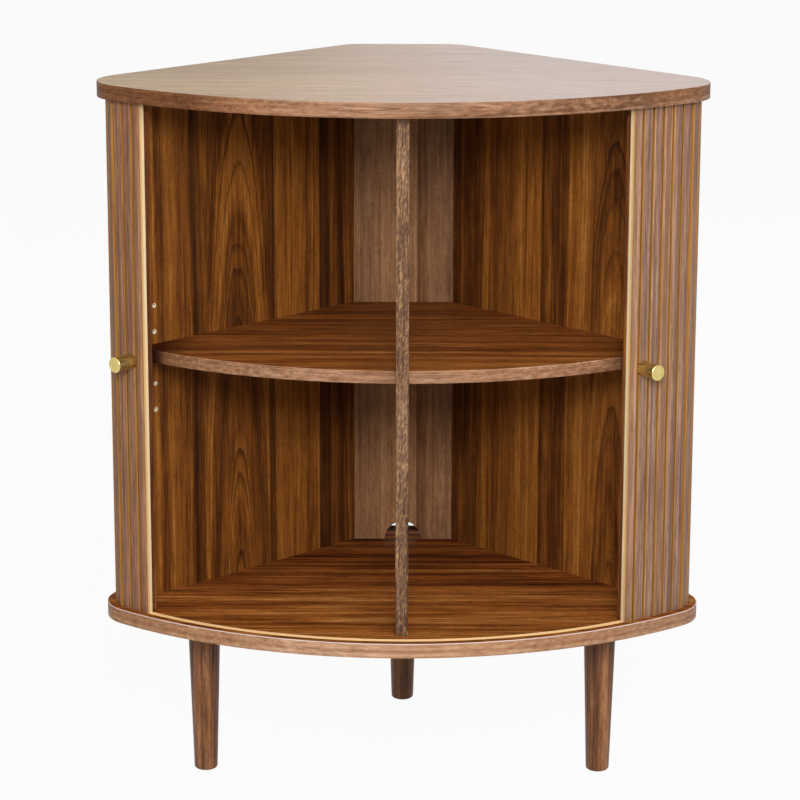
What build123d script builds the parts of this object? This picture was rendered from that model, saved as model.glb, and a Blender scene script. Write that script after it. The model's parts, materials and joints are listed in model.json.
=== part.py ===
from build123d import *
from math import atan2, cos, degrees, radians, sin, sqrt
import os

# Corner bar cabinet with two roller-slat doors, one shelf, a centre post and three turned legs.
# Millimetres. The origin is at the middle of the plan, on the floor, +Z up, and the front faces -Y.

os.makedirs("parts", exist_ok=True)

# Overall plan and height
WIDTH = 760.0
FRONT_RADIUS = 552.0
CORNER_RADIUS = 61.0
REAR_FLAT_WIDTH = 144.0
REAR_CORNER_RADIUS = 35.0
BOARD_THICKNESS = 19.0
INNER_HEIGHT = 655.0
LEG_HEIGHT = 207.0

# Top and base boards
BAND_THICKNESS = 1.0
BAND_ARRIS = 0.6
RIM = 10.0
GROOVE_WIDTH = 9.0
BASE_GROOVE_DEPTH = 6.0
TOP_GROOVE_DEPTH = 12.0

# Fixed walls, back panel and cable notch
PANEL_THICKNESS = 16.0
WALL_INSET = 34.0
BACK_PANEL_INSET = 49.0
WALL_FRONT_REACH = 28.0
PANEL_ARRIS = 0.5
NOTCH_RADIUS = 25.0

# Centre post
POST_WIDTH = 16.0
POST_FRONT = 29.5
POST_ARRIS = 1.2

# Shelf and its pins
SHELF_THICKNESS = 16.0
PINS_BELOW_MIDDLE = 12.0
SHELF_FLATTER = 20.0
SHELF_GAP = 1.0
SHELF_SETBACK = 54.0
PIN_DIAMETER = 5.0
PIN_SEAT = 9.0
PIN_REACH = 9.0
PIN_PITCH = 34.0
PIN_HOLES = 5
PIN_FROM_FRONT = 44.0
REAR_PIN_SPACING = 70.0
HOLE_CLEARANCE = 0.1

# Door slats and their cloth
SLAT_WIDTH = 13.2
LEAD_SLAT_WIDTH = 12.0
SLAT_GAP = 2.4
SLAT_THICKNESS = 8.0
SLAT_ARRIS = 0.5
SLAT_TOP_TONGUE = 6.0
RUNNING_CLEARANCE = 0.3
CLOTH_THICKNESS = 0.5
CLOTH_END_GAP = 4.0

# How much of each door shows on the front arc as it stands open, measured along its cloth
LEFT_DOOR_SHOWING = 36.5
RIGHT_DOOR_SHOWING = 86.2

# Stiffening batten inside each leading edge, and its screws
BATTEN_THICKNESS = 8.0
BATTEN_SEAT = 0.3
BATTEN_ARRIS = 1.0
BATTEN_BOTTOM_GAP = 2.0
BATTEN_TOP_GAP = 12.5
BATTEN_SCREWS = 4
BATTEN_SCREW_DIAMETER = 3.0
BATTEN_SCREW_HEAD = 6.0
BATTEN_SCREW_LENGTH = 12.5
BATTEN_SCREW_END = 60.0

# Knob
KNOB_DIAMETER = 19.5
KNOB_LENGTH = 30.0
KNOB_CHAMFER = 0.6
KNOB_SCREW_DIAMETER = 4.0
KNOB_SCREW_HEAD = 7.5
KNOB_SCREW_HEAD_HEIGHT = 2.6
KNOB_SCREW_GRIP = 12.0

# Legs with their bolts, inserts and glides
LEG_TOP_DIAMETER = 42.0
LEG_FOOT_DIAMETER = 30.0
LEG_FOOT_ROUND = 4.0
LEG_TOP_ROUND = 1.0
LEG_FROM_SIDE = 125.0
LEG_AHEAD_OF_CORNER = 17.0
REAR_LEG_FROM_REAR = 79.0
GLIDE_DIAMETER = 18.0
GLIDE_THICKNESS = 3.5
GLIDE_PROUD = 1.0
BOLT_DIAMETER = 8.0
BOLT_IN_LEG = 27.0
BOLT_HOLE_SPARE = 3.0
INSERT_DIAMETER = 12.0
INSERT_LENGTH = 13.0

# Dowels and screws that hold the panels
DOWEL_DIAMETER = 8.0
DOWEL_IN_BOARD = 11.0
DOWEL_IN_PANEL = 24.0
SCREW_DIAMETER = 4.5
SCREW_HEAD = 8.5
SCREW_HEAD_HEIGHT = 3.0
SCREW_LENGTH = 50.0
SIDE_SCREW_LENGTH = 28.0
SIDE_SCREW_FROM_REAR = 7.0
FIXING_FROM_FRONT = 70.0
FIXING_FROM_REAR = 90.0
BACK_FIXING_SPACING = 80.0
SIDE_SCREWS = 3
SIDE_SCREW_END = 90.0
CUT_OVERRUN = 5.0

# Heights that follow
BASE_UNDERSIDE = LEG_HEIGHT
BASE_TOP = BASE_UNDERSIDE + BOARD_THICKNESS
TOP_UNDERSIDE = BASE_TOP + INNER_HEIGHT
MIDDLE_Z = (BASE_TOP + TOP_UNDERSIDE) / 2
PIN_Z = MIDDLE_Z - PINS_BELOW_MIDDLE
SHELF_UNDERSIDE = PIN_Z + PIN_DIAMETER / 2

# Plan points that follow: the back edges run at 45 degrees from the round side corners to the rear flat
CORNER_X = WIDTH / 2 - CORNER_RADIUS
CORNER_FROM_ARC_CENTRE = sqrt((FRONT_RADIUS - CORNER_RADIUS) ** 2 - CORNER_X ** 2)
ARC_END = atan2(CORNER_X, CORNER_FROM_ARC_CENTRE)
CORNER_FROM_FRONT = FRONT_RADIUS - CORNER_FROM_ARC_CENTRE
DEPTH = CORNER_X + CORNER_FROM_FRONT + CORNER_RADIUS * sqrt(2) - REAR_FLAT_WIDTH / 2
FRONT_Y = -DEPTH / 2
REAR_Y = DEPTH / 2
ARC_CENTRE_Y = FRONT_Y + FRONT_RADIUS
CORNER_Y = FRONT_Y + CORNER_FROM_FRONT
BACK_LINE = REAR_Y + REAR_FLAT_WIDTH / 2
REAR_CORNER_Y = REAR_Y - REAR_CORNER_RADIUS
REAR_CORNER_X = BACK_LINE - REAR_CORNER_RADIUS * sqrt(2) - REAR_CORNER_Y

# Slat path that follows: the face of the slats that carries the cloth
SLAT_INSET = RIM + (GROOVE_WIDTH - SLAT_THICKNESS) / 2
CLOTH_INSET = SLAT_INSET + SLAT_THICKNESS
PATH_RADIUS = FRONT_RADIUS - CLOTH_INSET
PATH_CORNER_RADIUS = CORNER_RADIUS - CLOTH_INSET
PATH_CORNER_TURN = 3 * radians(45) - ARC_END
PATH_CORNER_LENGTH = PATH_CORNER_TURN * PATH_CORNER_RADIUS
PITCH = SLAT_WIDTH + SLAT_GAP
SLAT_COUNT = int((PATH_RADIUS * ARC_END + PATH_CORNER_LENGTH) / PITCH) + 2
SLAT_BOTTOM = BASE_TOP - BASE_GROOVE_DEPTH + RUNNING_CLEARANCE
SLAT_TOP = TOP_UNDERSIDE + SLAT_TOP_TONGUE
LEAD_SPAN = LEAD_SLAT_WIDTH + SLAT_GAP + SLAT_WIDTH


def direction(angle):
    """Unit vector at an angle, in radians from +X."""
    return Vector(cos(angle), sin(angle))


def plan_face(inset):
    """The board's outline, drawn in by inset: front arc, two round corners, two back edges, a rear flat."""
    arc_radius = FRONT_RADIUS - inset
    corner_radius = CORNER_RADIUS - inset
    rear_radius = REAR_CORNER_RADIUS - inset
    corner = Vector(CORNER_X, CORNER_Y)
    rear_corner = Vector(REAR_CORNER_X, REAR_CORNER_Y)
    arc_turn = ARC_END - radians(90)
    back_turn = radians(45)
    rear_turn = radians(90)
    arc_point = corner + corner_radius * direction(arc_turn)
    corner_middle = corner + corner_radius * direction((arc_turn + back_turn) / 2)
    back_start = corner + corner_radius * direction(back_turn)
    back_end = rear_corner + rear_radius * direction(back_turn)
    rear_middle = rear_corner + rear_radius * direction((back_turn + rear_turn) / 2)
    rear_point = rear_corner + rear_radius * direction(rear_turn)
    front_point = Vector(0, ARC_CENTRE_Y - arc_radius)
    half = [
        ThreePointArc(arc_point, corner_middle, back_start),
        Line(back_start, back_end),
        ThreePointArc(back_end, rear_middle, rear_point),
    ]
    other_half = [mirror(edge, about=Plane.YZ) for edge in half]
    front = ThreePointArc(mirrored(arc_point), front_point, arc_point)
    rear = Line(rear_point, mirrored(rear_point))
    return make_face(Curve() + [front, *half, rear, *other_half])


def mirrored(point):
    """The same point on the other side of the centre line."""
    return Vector(-point.X, point.Y)


def prism(face, bottom, height):
    """A face in plan made solid from one height upwards."""
    return extrude(Pos(0, 0, bottom) * face, height)


def groove(bottom, height):
    """The ring that the slats run in."""
    return prism(plan_face(RIM) - plan_face(RIM + GROOVE_WIDTH), bottom, height)


def board_and_band(bottom):
    """A board and the band round its edge, with a small arris on the band."""
    whole = prism(plan_face(0), bottom, BOARD_THICKNESS)
    rims = whole.faces().filter_by(Axis.Z).edges()
    eased = chamfer(rims, BAND_ARRIS)
    core = prism(plan_face(BAND_THICKNESS), bottom, BOARD_THICKNESS)
    return core, eased - core


def screw(diameter, head, head_height, length):
    """A countersunk screw that points up from the origin, head at the bottom."""
    shank = Pos(0, 0, length / 2) * Cylinder(diameter / 2, length)
    cone_face = make_face(
        Polyline((0, 0), (head / 2, 0), (diameter / 2, head_height), (0, head_height), close=True)
    )
    cone = revolve(Plane.XZ * cone_face, Axis.Z)
    return shank + cone


def screw_hole(diameter, head, head_height, length):
    """The room that a countersunk screw takes."""
    spare = 2 * HOLE_CLEARANCE
    return screw(diameter + spare, head + spare, head_height, length + HOLE_CLEARANCE)


def round_bar(diameter, length):
    """A bar that points up from the origin."""
    return Pos(0, 0, length / 2) * Cylinder(diameter / 2, length)


WALL_U = direction(radians(135))
WALL_N = direction(radians(45))


def wall_point(along, inward):
    """A point by the right wall: so far along it from the corner's centre, and so far in from the edge."""
    across = (BACK_LINE / sqrt(2)) - inward
    start = CORNER_X * WALL_U.X + CORNER_Y * WALL_U.Y
    return (start + along) * WALL_U + across * WALL_N


WALL_INNER = WALL_INSET + PANEL_THICKNESS
BACK_INNER_Y = REAR_Y - BACK_PANEL_INSET - PANEL_THICKNESS
BACK_OUTER_Y = REAR_Y - BACK_PANEL_INSET
INNER_LINE = BACK_LINE - WALL_INNER * sqrt(2)
WALL_REAR = (BACK_OUTER_Y - wall_point(0, WALL_INNER).Y) * sqrt(2)
WALL_FIXINGS = [FIXING_FROM_FRONT - WALL_FRONT_REACH, WALL_REAR - FIXING_FROM_REAR]
WALL_MIDDLE = WALL_INSET + PANEL_THICKNESS / 2


def into_right_wall(along, inward, height):
    """A place on the right wall whose Z axis points into the wall from the room side."""
    point = wall_point(along, inward)
    return Plane(origin=(point.X, point.Y, height), x_dir=(0, 0, 1), z_dir=(WALL_N.X, WALL_N.Y, 0))


def out_of_right_wall(along, inward, height):
    """A place on the right wall whose Z axis points into the room from the wall's outer side."""
    point = wall_point(along, inward)
    return Plane(origin=(point.X, point.Y, height), x_dir=(0, 0, 1), z_dir=(-WALL_N.X, -WALL_N.Y, 0))


def other_side(shape):
    """The same shape on the left of the cabinet."""
    return mirror(shape, about=Plane.YZ)


def pin_heights():
    """Heights of the row of shelf pin holes, evenly above and below the shelf's pins."""
    return [PIN_Z + (index - PIN_HOLES // 2) * PIN_PITCH for index in range(PIN_HOLES)]


def side_screw_heights():
    """Heights of the screws that hold the back panel between the walls."""
    step = (INNER_HEIGHT - 2 * SIDE_SCREW_END) / (SIDE_SCREWS - 1)
    return [BASE_TOP + SIDE_SCREW_END + index * step for index in range(SIDE_SCREWS)]


SIDE_SCREW_ALONG = WALL_REAR - SIDE_SCREW_FROM_REAR


def right_wall():
    """The fixed wall on the right, with its pin holes and fixing holes."""
    corners = [
        wall_point(-WALL_FRONT_REACH, WALL_INNER),
        wall_point(-WALL_FRONT_REACH, WALL_INSET),
        wall_point(WALL_REAR, WALL_INSET),
        wall_point(WALL_REAR, WALL_INNER),
    ]
    panel = prism(make_face(Polyline(*corners, close=True)), BASE_TOP, INNER_HEIGHT)
    front_edges = panel.edges().filter_by(Axis.Z).sort_by(Axis.Y)[:2]
    panel = chamfer(front_edges, PANEL_ARRIS)
    for height in pin_heights():
        place = into_right_wall(PIN_FROM_FRONT - WALL_FRONT_REACH, WALL_INNER, height)
        panel -= place * round_bar(PIN_DIAMETER, PIN_SEAT)
    for along in WALL_FIXINGS:
        point = wall_point(along, WALL_MIDDLE)
        panel -= Pos(point.X, point.Y, 0) * fixing_holes()
    for height in side_screw_heights():
        place = out_of_right_wall(SIDE_SCREW_ALONG, WALL_INSET, height)
        panel -= place * screw_hole(SCREW_DIAMETER, SCREW_HEAD, SCREW_HEAD_HEIGHT, SIDE_SCREW_LENGTH)
    return panel


def fixing_holes():
    """The screw hole through the base and the dowel hole into the top, on one upright line."""
    lower = screw_hole(SCREW_DIAMETER, SCREW_HEAD, SCREW_HEAD_HEIGHT, SCREW_LENGTH)
    upper = round_bar(DOWEL_DIAMETER + 2 * HOLE_CLEARANCE, DOWEL_IN_PANEL + DOWEL_IN_BOARD)
    return Pos(0, 0, BASE_UNDERSIDE) * lower + Pos(0, 0, TOP_UNDERSIDE - DOWEL_IN_PANEL) * upper


def back_fixings():
    """Plan places of the back panel's fixings."""
    middle_y = BACK_INNER_Y + PANEL_THICKNESS / 2
    return [Vector(side * BACK_FIXING_SPACING / 2, middle_y) for side in (-1, 1)]


def wall_fixings():
    """Plan places of both walls' fixings."""
    right = [wall_point(along, WALL_MIDDLE) for along in WALL_FIXINGS]
    return right + [mirrored(point) for point in right]


POST_DEPTH = SHELF_SETBACK - SHELF_GAP - POST_FRONT
POST_FIXING = Vector(0, FRONT_Y + POST_FRONT + POST_DEPTH / 2)


def all_fixings():
    """Plan places of every upright screw and dowel."""
    return wall_fixings() + back_fixings() + [POST_FIXING]


def back_panel():
    """The narrow panel across the rear corner, with a half-round notch for cables at its foot."""
    front_half = INNER_LINE - BACK_INNER_Y
    rear_half = INNER_LINE - BACK_OUTER_Y
    corners = [
        (-front_half, BACK_INNER_Y),
        (front_half, BACK_INNER_Y),
        (rear_half, BACK_OUTER_Y),
        (-rear_half, BACK_OUTER_Y),
    ]
    panel = prism(make_face(Polyline(*corners, close=True)), BASE_TOP, INNER_HEIGHT)
    middle_y = BACK_INNER_Y + PANEL_THICKNESS / 2
    notch = Rot(90, 0, 0) * Cylinder(NOTCH_RADIUS, PANEL_THICKNESS + 2 * CUT_OVERRUN)
    panel -= Pos(0, middle_y, BASE_TOP) * notch
    for point in back_fixings():
        panel -= Pos(point.X, point.Y, 0) * fixing_holes()
    for side in (-1, 1):
        hole = Rot(-90, 0, 0) * round_bar(PIN_DIAMETER, PIN_SEAT)
        panel -= Pos(side * REAR_PIN_SPACING / 2, BACK_INNER_Y, PIN_Z) * hole
    for hole in side_screws(screw_hole):
        panel -= hole
    return panel


def side_screws(maker):
    """The screws through the walls into the ends of the back panel, or the holes for them."""
    group = []
    for height in side_screw_heights():
        place = out_of_right_wall(SIDE_SCREW_ALONG, WALL_INSET, height)
        one = place * maker(SCREW_DIAMETER, SCREW_HEAD, SCREW_HEAD_HEIGHT, SIDE_SCREW_LENGTH)
        group += [one, other_side(one)]
    return group


def top_board():
    """The top, grooved below, and its band."""
    core, band = board_and_band(TOP_UNDERSIDE)
    core -= groove(TOP_UNDERSIDE, TOP_GROOVE_DEPTH)
    for point in all_fixings():
        core -= Pos(point.X, point.Y, 0) * fixing_holes()
    return core, band


def base_board():
    """The base, grooved above, drilled for the panels and the legs, and its band."""
    core, band = board_and_band(BASE_UNDERSIDE)
    core -= groove(BASE_TOP - BASE_GROOVE_DEPTH, BASE_GROOVE_DEPTH)
    for point in all_fixings():
        core -= Pos(point.X, point.Y, 0) * fixing_holes()
    for point in leg_places():
        core -= Pos(point.X, point.Y, BASE_UNDERSIDE) * round_bar(INSERT_DIAMETER, INSERT_LENGTH)
    return core, band


def centre_post():
    """The upright strip in the middle of the opening, which the doors close in front of."""
    post = prism(Rectangle(POST_WIDTH, POST_DEPTH), BASE_TOP, INNER_HEIGHT)
    post = Pos(POST_FIXING.X, POST_FIXING.Y, 0) * post
    front_edges = post.edges().filter_by(Axis.Z).sort_by(Axis.Y)[:2]
    post = fillet(front_edges, POST_ARRIS)
    return post - Pos(POST_FIXING.X, POST_FIXING.Y, 0) * fixing_holes()


def shelf_face(setback):
    """The shelf's plan, with its front edge set back from the front of the cabinet."""
    gap = SHELF_GAP
    side_line = INNER_LINE - gap * sqrt(2)
    rear_y = BACK_INNER_Y - gap
    front_y = FRONT_Y + setback
    radius = FRONT_RADIUS - setback + SHELF_FLATTER
    centre_y = front_y + radius
    # The side line x + y = side_line meets the front arc at one radius from the arc's centre.
    foot = (side_line - centre_y) / 2
    half_chord = sqrt(radius ** 2 / 2 - foot ** 2)
    corner = Vector(foot + half_chord, side_line - foot - half_chord)
    rear = Vector(side_line - rear_y, rear_y)
    edges = [
        ThreePointArc(mirrored(corner), (0, front_y), corner),
        Line(corner, rear),
        Line(rear, mirrored(rear)),
        Line(mirrored(rear), mirrored(corner)),
    ]
    return make_face(Curve() + edges)


def shelf_and_band():
    """The shelf and the band along its curved front."""
    whole_face = shelf_face(SHELF_SETBACK)
    core_face = shelf_face(SHELF_SETBACK + BAND_THICKNESS)
    core = prism(core_face, SHELF_UNDERSIDE, SHELF_THICKNESS)
    whole = prism(whole_face, SHELF_UNDERSIDE, SHELF_THICKNESS)
    band = chamfer(whole.edges().filter_by(GeomType.CIRCLE), BAND_ARRIS) - core
    return core, band


def shelf_pins():
    """Two pins in the walls near the front and two in the back panel."""
    length = PIN_SEAT + PIN_REACH
    pin = Pos(0, 0, -PIN_REACH) * round_bar(PIN_DIAMETER - HOLE_CLEARANCE, length)
    drop = HOLE_CLEARANCE / 2
    front = into_right_wall(PIN_FROM_FRONT - WALL_FRONT_REACH, WALL_INNER, PIN_Z + drop) * pin
    rear = Pos(REAR_PIN_SPACING / 2, BACK_INNER_Y, PIN_Z + drop) * Rot(-90, 0, 0) * pin
    return Compound(children=[front, other_side(front), rear, other_side(rear)])


def leg_places():
    """Plan places of the right front, left front and rear legs."""
    right = Vector(WIDTH / 2 - LEG_FROM_SIDE, CORNER_Y - LEG_AHEAD_OF_CORNER)
    return [right, mirrored(right), Vector(0, REAR_Y - REAR_LEG_FROM_REAR)]


def leg():
    """A turned leg: a straight taper, an eased top and a rounded foot, recessed for its glide."""
    top = LEG_TOP_DIAMETER / 2
    foot = LEG_FOOT_DIAMETER / 2
    outline = make_face(
        Polyline((0, GLIDE_PROUD), (foot, GLIDE_PROUD), (top, LEG_HEIGHT), (0, LEG_HEIGHT), close=True)
    )
    body = revolve(Plane.XZ * outline, Axis.Z)
    rounds = body.edges().filter_by(GeomType.CIRCLE).sort_by(Axis.Z)
    body = fillet(rounds[0], LEG_FOOT_ROUND)
    rounds = body.edges().filter_by(GeomType.CIRCLE).sort_by(Axis.Z)
    body = fillet(rounds[-1], LEG_TOP_ROUND)
    body -= round_bar(GLIDE_DIAMETER, GLIDE_THICKNESS)
    depth = BOLT_IN_LEG + BOLT_HOLE_SPARE
    body -= Pos(0, 0, LEG_HEIGHT - depth) * round_bar(BOLT_DIAMETER, depth)
    return body


def at_legs(shape):
    """The same shape at all three legs."""
    return Compound(children=[Pos(point.X, point.Y, 0) * shape for point in leg_places()])


def leg_bolt():
    """The bolt that stands out of a leg's top."""
    length = BOLT_IN_LEG + INSERT_LENGTH - HOLE_CLEARANCE
    return Pos(0, 0, LEG_HEIGHT - BOLT_IN_LEG) * round_bar(BOLT_DIAMETER - HOLE_CLEARANCE, length)


def leg_insert():
    """The threaded sleeve in the base that takes a leg's bolt."""
    sleeve = round_bar(INSERT_DIAMETER, INSERT_LENGTH) - round_bar(BOLT_DIAMETER, INSERT_LENGTH)
    return Pos(0, 0, BASE_UNDERSIDE) * sleeve


def leg_glide():
    """The round glide under a leg."""
    return round_bar(GLIDE_DIAMETER - 2 * HOLE_CLEARANCE, GLIDE_THICKNESS)


def path_place(distance, showing):
    """Point and outward angle on the right door's path, at a distance behind its leading edge."""
    if distance <= showing:
        angle = ARC_END - (showing - distance) / PATH_RADIUS - radians(90)
        return Vector(0, ARC_CENTRE_Y) + PATH_RADIUS * direction(angle), angle
    if distance <= showing + PATH_CORNER_LENGTH:
        angle = ARC_END - radians(90) + (distance - showing) / PATH_CORNER_RADIUS
        return Vector(CORNER_X, CORNER_Y) + PATH_CORNER_RADIUS * direction(angle), angle
    run = distance - showing - PATH_CORNER_LENGTH
    start = Vector(CORNER_X, CORNER_Y) + PATH_CORNER_RADIUS * WALL_N
    return start + run * WALL_U, radians(45)


def slat_width(index):
    """The leading slat is a little narrower than the others."""
    return SLAT_WIDTH if index else LEAD_SLAT_WIDTH


def slat_end(index):
    """Distance from the leading edge to the far edge of a slat."""
    return LEAD_SLAT_WIDTH + index * PITCH


def slat_place(index, showing):
    """The middle of a slat's cloth side and its outward angle. Slat 0 carries the leading edge."""
    return path_place(slat_end(index) - slat_width(index) / 2, showing)


def slat(index, showing):
    """One upright slat of the right door, flat, with eased face corners."""
    point, angle = slat_place(index, showing)
    blank = Pos(SLAT_THICKNESS / 2, 0, 0) * Box(SLAT_THICKNESS, slat_width(index), SLAT_TOP - SLAT_BOTTOM)
    face_edges = blank.edges().filter_by(Axis.Z).sort_by(Axis.X)[-2:]
    blank = chamfer(face_edges, SLAT_ARRIS)
    return Pos(point.X, point.Y, (SLAT_TOP + SLAT_BOTTOM) / 2) * Rot(0, 0, degrees(angle)) * blank


def slats(first, last, showing):
    """Slats from the first up to, not including, the last."""
    return [slat(index, showing) for index in range(first, last)]


def cloth(start, end, showing):
    """The strip of cloth glued behind the slats, between two distances from the leading edge."""
    bends = (showing, showing + PATH_CORNER_LENGTH)
    marks = [start] + [mark for mark in bends if start < mark < end] + [end]
    outer = []
    inner = []
    for first, last in zip(marks, marks[1:]):
        places = [path_place(mark, showing) for mark in (first, (first + last) / 2, last)]
        outer_points = [point for point, angle in places]
        inner_points = [point - CLOTH_THICKNESS * direction(angle) for point, angle in places]
        straight = first >= bends[1]
        for points, edges in ((outer_points, outer), (inner_points, inner)):
            edges.append(Line(points[0], points[2]) if straight else ThreePointArc(*points))
    ends = [Line(outer[0] @ 0, inner[0] @ 0), Line(outer[-1] @ 1, inner[-1] @ 1)]
    face = make_face(Curve() + outer + inner + ends)
    return prism(face, BASE_TOP + CLOTH_END_GAP, INNER_HEIGHT - 2 * CLOTH_END_GAP)


def lead_plane(showing, inward, along, height):
    """A place by the leading edge: Z points inwards, along runs away from the leading edge."""
    middle = ARC_END - (showing - LEAD_SPAN / 2) / PATH_RADIUS
    outward = direction(middle - radians(90))
    sideways = direction(middle)
    origin = Vector(0, ARC_CENTRE_Y) + (PATH_RADIUS - inward) * outward + (along - LEAD_SPAN / 2) * sideways
    return Plane(origin=(origin.X, origin.Y, height), x_dir=(0, 0, 1), z_dir=(-outward.X, -outward.Y, 0))


BATTEN_FRONT = CLOTH_THICKNESS + BATTEN_SEAT
BATTEN_HEIGHT = INNER_HEIGHT - BATTEN_BOTTOM_GAP - BATTEN_TOP_GAP
BATTEN_MIDDLE = BASE_TOP + BATTEN_BOTTOM_GAP + BATTEN_HEIGHT / 2


def batten_screw_heights():
    """Heights of the small screws that hold the batten to the leading slat."""
    step = (BATTEN_HEIGHT - 2 * BATTEN_SCREW_END) / (BATTEN_SCREWS - 1)
    low = BASE_TOP + BATTEN_BOTTOM_GAP + BATTEN_SCREW_END
    return [low + index * step for index in range(BATTEN_SCREWS)]


def batten_screws(showing, maker):
    """The small screws through the batten into the leading slat, or the holes for them."""
    group = []
    for height in batten_screw_heights():
        inner = lead_plane(showing, BATTEN_FRONT + BATTEN_THICKNESS, LEAD_SLAT_WIDTH / 2, height)
        head_height = BATTEN_SCREW_DIAMETER / 2
        one = maker(BATTEN_SCREW_DIAMETER, BATTEN_SCREW_HEAD, head_height, BATTEN_SCREW_LENGTH)
        group.append(inner * Rot(180, 0, 0) * one)
    return group


def batten(showing):
    """The strip behind the first two slats that stiffens the leading edge and takes the knob's screw."""
    blank = Pos(0, 0, BATTEN_THICKNESS / 2) * Box(BATTEN_HEIGHT, LEAD_SPAN, BATTEN_THICKNESS)
    inner_edges = blank.edges().filter_by(Axis.X).sort_by(Axis.Z)[-2:]
    blank = fillet(inner_edges, BATTEN_ARRIS)
    strip = lead_plane(showing, BATTEN_FRONT, LEAD_SPAN / 2, BATTEN_MIDDLE) * blank
    for hole in batten_screws(showing, screw_hole):
        strip -= hole
    return strip - knob_screw(showing, HOLE_CLEARANCE)


def knob_plane(showing, outward_reach):
    """A place on the knob's axis: Z points out of the second slat's face."""
    point, angle = slat_place(1, showing)
    outward = direction(angle)
    origin = point + outward_reach * outward
    return Plane(origin=(origin.X, origin.Y, MIDDLE_Z), x_dir=(0, 0, 1), z_dir=(outward.X, outward.Y, 0))


KNOB_SCREW_START = -(BATTEN_FRONT + BATTEN_THICKNESS)


def knob_screw(showing, spare):
    """The screw from inside the batten into the knob, with its pan head sunk in the batten."""
    length = SLAT_THICKNESS + KNOB_SCREW_GRIP - KNOB_SCREW_START
    head_height = KNOB_SCREW_HEAD_HEIGHT + spare
    head = round_bar(KNOB_SCREW_HEAD + 2 * spare, head_height)
    shank = round_bar(KNOB_SCREW_DIAMETER + 2 * spare, length)
    place = knob_plane(showing, KNOB_SCREW_START)
    return place * (head + shank)


def knob(showing):
    """A plain turned brass cylinder with eased rims, on the second slat."""
    blank = round_bar(KNOB_DIAMETER, KNOB_LENGTH)
    blank = chamfer(blank.edges().filter_by(GeomType.CIRCLE), KNOB_CHAMFER)
    body = knob_plane(showing, SLAT_THICKNESS) * blank
    return body - knob_screw(showing, HOLE_CLEARANCE / 2)


def slats_within(distance):
    """How many slats end within a distance of the leading edge."""
    return int((distance - LEAD_SLAT_WIDTH) // PITCH) + 1


def door_parts(showing):
    """All pieces of the right door by name, when so much of it shows on the front arc."""
    turning = slats_within(showing)
    corner_end = slats_within(showing + PATH_CORNER_LENGTH + SLAT_WIDTH / 2)
    lead = slat(0, showing)
    lead_cloth = cloth(0, slat_end(turning - 1), showing) - knob_screw(showing, HOLE_CLEARANCE)
    for hole in batten_screws(showing, screw_hole):
        lead -= hole
        lead_cloth -= hole
    parts = {
        "lead_slat": lead,
        "knob_slat": slat(1, showing) - knob_screw(showing, HOLE_CLEARANCE),
        "lead_cloth": lead_cloth,
        "batten": batten(showing),
        "batten_screws": Compound(children=batten_screws(showing, screw)),
        "knob": knob(showing),
        "knob_screw": knob_screw(showing, 0),
        "corner_slats": Compound(children=slats(turning, corner_end, showing)),
        "stored_slats": Compound(children=slats(corner_end, SLAT_COUNT, showing)),
        "stored_cloth": cloth(slat_end(turning - 1) + SLAT_GAP, slat_end(SLAT_COUNT - 1), showing),
    }
    if turning > 2:
        parts["front_slats"] = Compound(children=slats(2, turning, showing))
    return parts


def save(name, shape):
    """Write one piece, or one group of like pieces, to its own file."""
    export_step(shape, f"parts/{name}.step")


def main():
    """Build every piece and write it out."""
    top, top_band = top_board()
    base, base_band = base_board()
    shelf, shelf_band = shelf_and_band()
    wall = right_wall()
    right_leg, left_leg, rear_leg = [Pos(point.X, point.Y, 0) * leg() for point in leg_places()]
    long_screw = screw(SCREW_DIAMETER, SCREW_HEAD, SCREW_HEAD_HEIGHT, SCREW_LENGTH)
    screws = [Pos(point.X, point.Y, BASE_UNDERSIDE) * long_screw for point in all_fixings()]
    dowel = round_bar(DOWEL_DIAMETER, DOWEL_IN_PANEL + DOWEL_IN_BOARD)
    dowels = [Pos(point.X, point.Y, TOP_UNDERSIDE - DOWEL_IN_PANEL) * dowel for point in all_fixings()]
    pieces = {
        "top_board": top,
        "top_edge_band": top_band,
        "base_board": base,
        "base_edge_band": base_band,
        "right_wall": wall,
        "left_wall": other_side(wall),
        "back_panel": back_panel(),
        "centre_post": centre_post(),
        "shelf": shelf,
        "shelf_edge_band": shelf_band,
        "shelf_pins": shelf_pins(),
        "right_front_leg": right_leg,
        "left_front_leg": left_leg,
        "rear_leg": rear_leg,
        "leg_bolts": at_legs(leg_bolt()),
        "leg_inserts": at_legs(leg_insert()),
        "leg_glides": at_legs(leg_glide()),
        "base_screws": Compound(children=screws),
        "top_dowels": Compound(children=dowels),
        "back_panel_screws": Compound(children=side_screws(screw)),
    }
    for name, shape in door_parts(RIGHT_DOOR_SHOWING).items():
        pieces[f"right_{name}"] = shape
    for name, shape in door_parts(LEFT_DOOR_SHOWING).items():
        pieces[f"left_{name}"] = other_side(shape)
    for name, shape in pieces.items():
        save(name, shape)
    print(len(pieces), "nodes, depth", round(DEPTH, 2), "hinge axis at y", round(ARC_CENTRE_Y, 3))
    for name, showing in (("left", LEFT_DOOR_SHOWING), ("right", RIGHT_DOOR_SHOWING)):
        print(name, "leading edge at", round(degrees(ARC_END - showing / PATH_RADIUS), 3), "degrees")


main()
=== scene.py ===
"""Corner bar cabinet with two roller-slat doors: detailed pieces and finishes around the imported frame."""
from __future__ import annotations

import json
import logging
import math
from collections.abc import Iterable, Mapping, Sequence
from dataclasses import dataclass, replace
from enum import Enum, IntEnum

import bmesh
import bpy
from bmesh.types import BMEdge, BMesh, BMVert
from bpy.types import ID, Material, Node, NodeSocket, Object, World
from mathutils import Matrix, Vector


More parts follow.
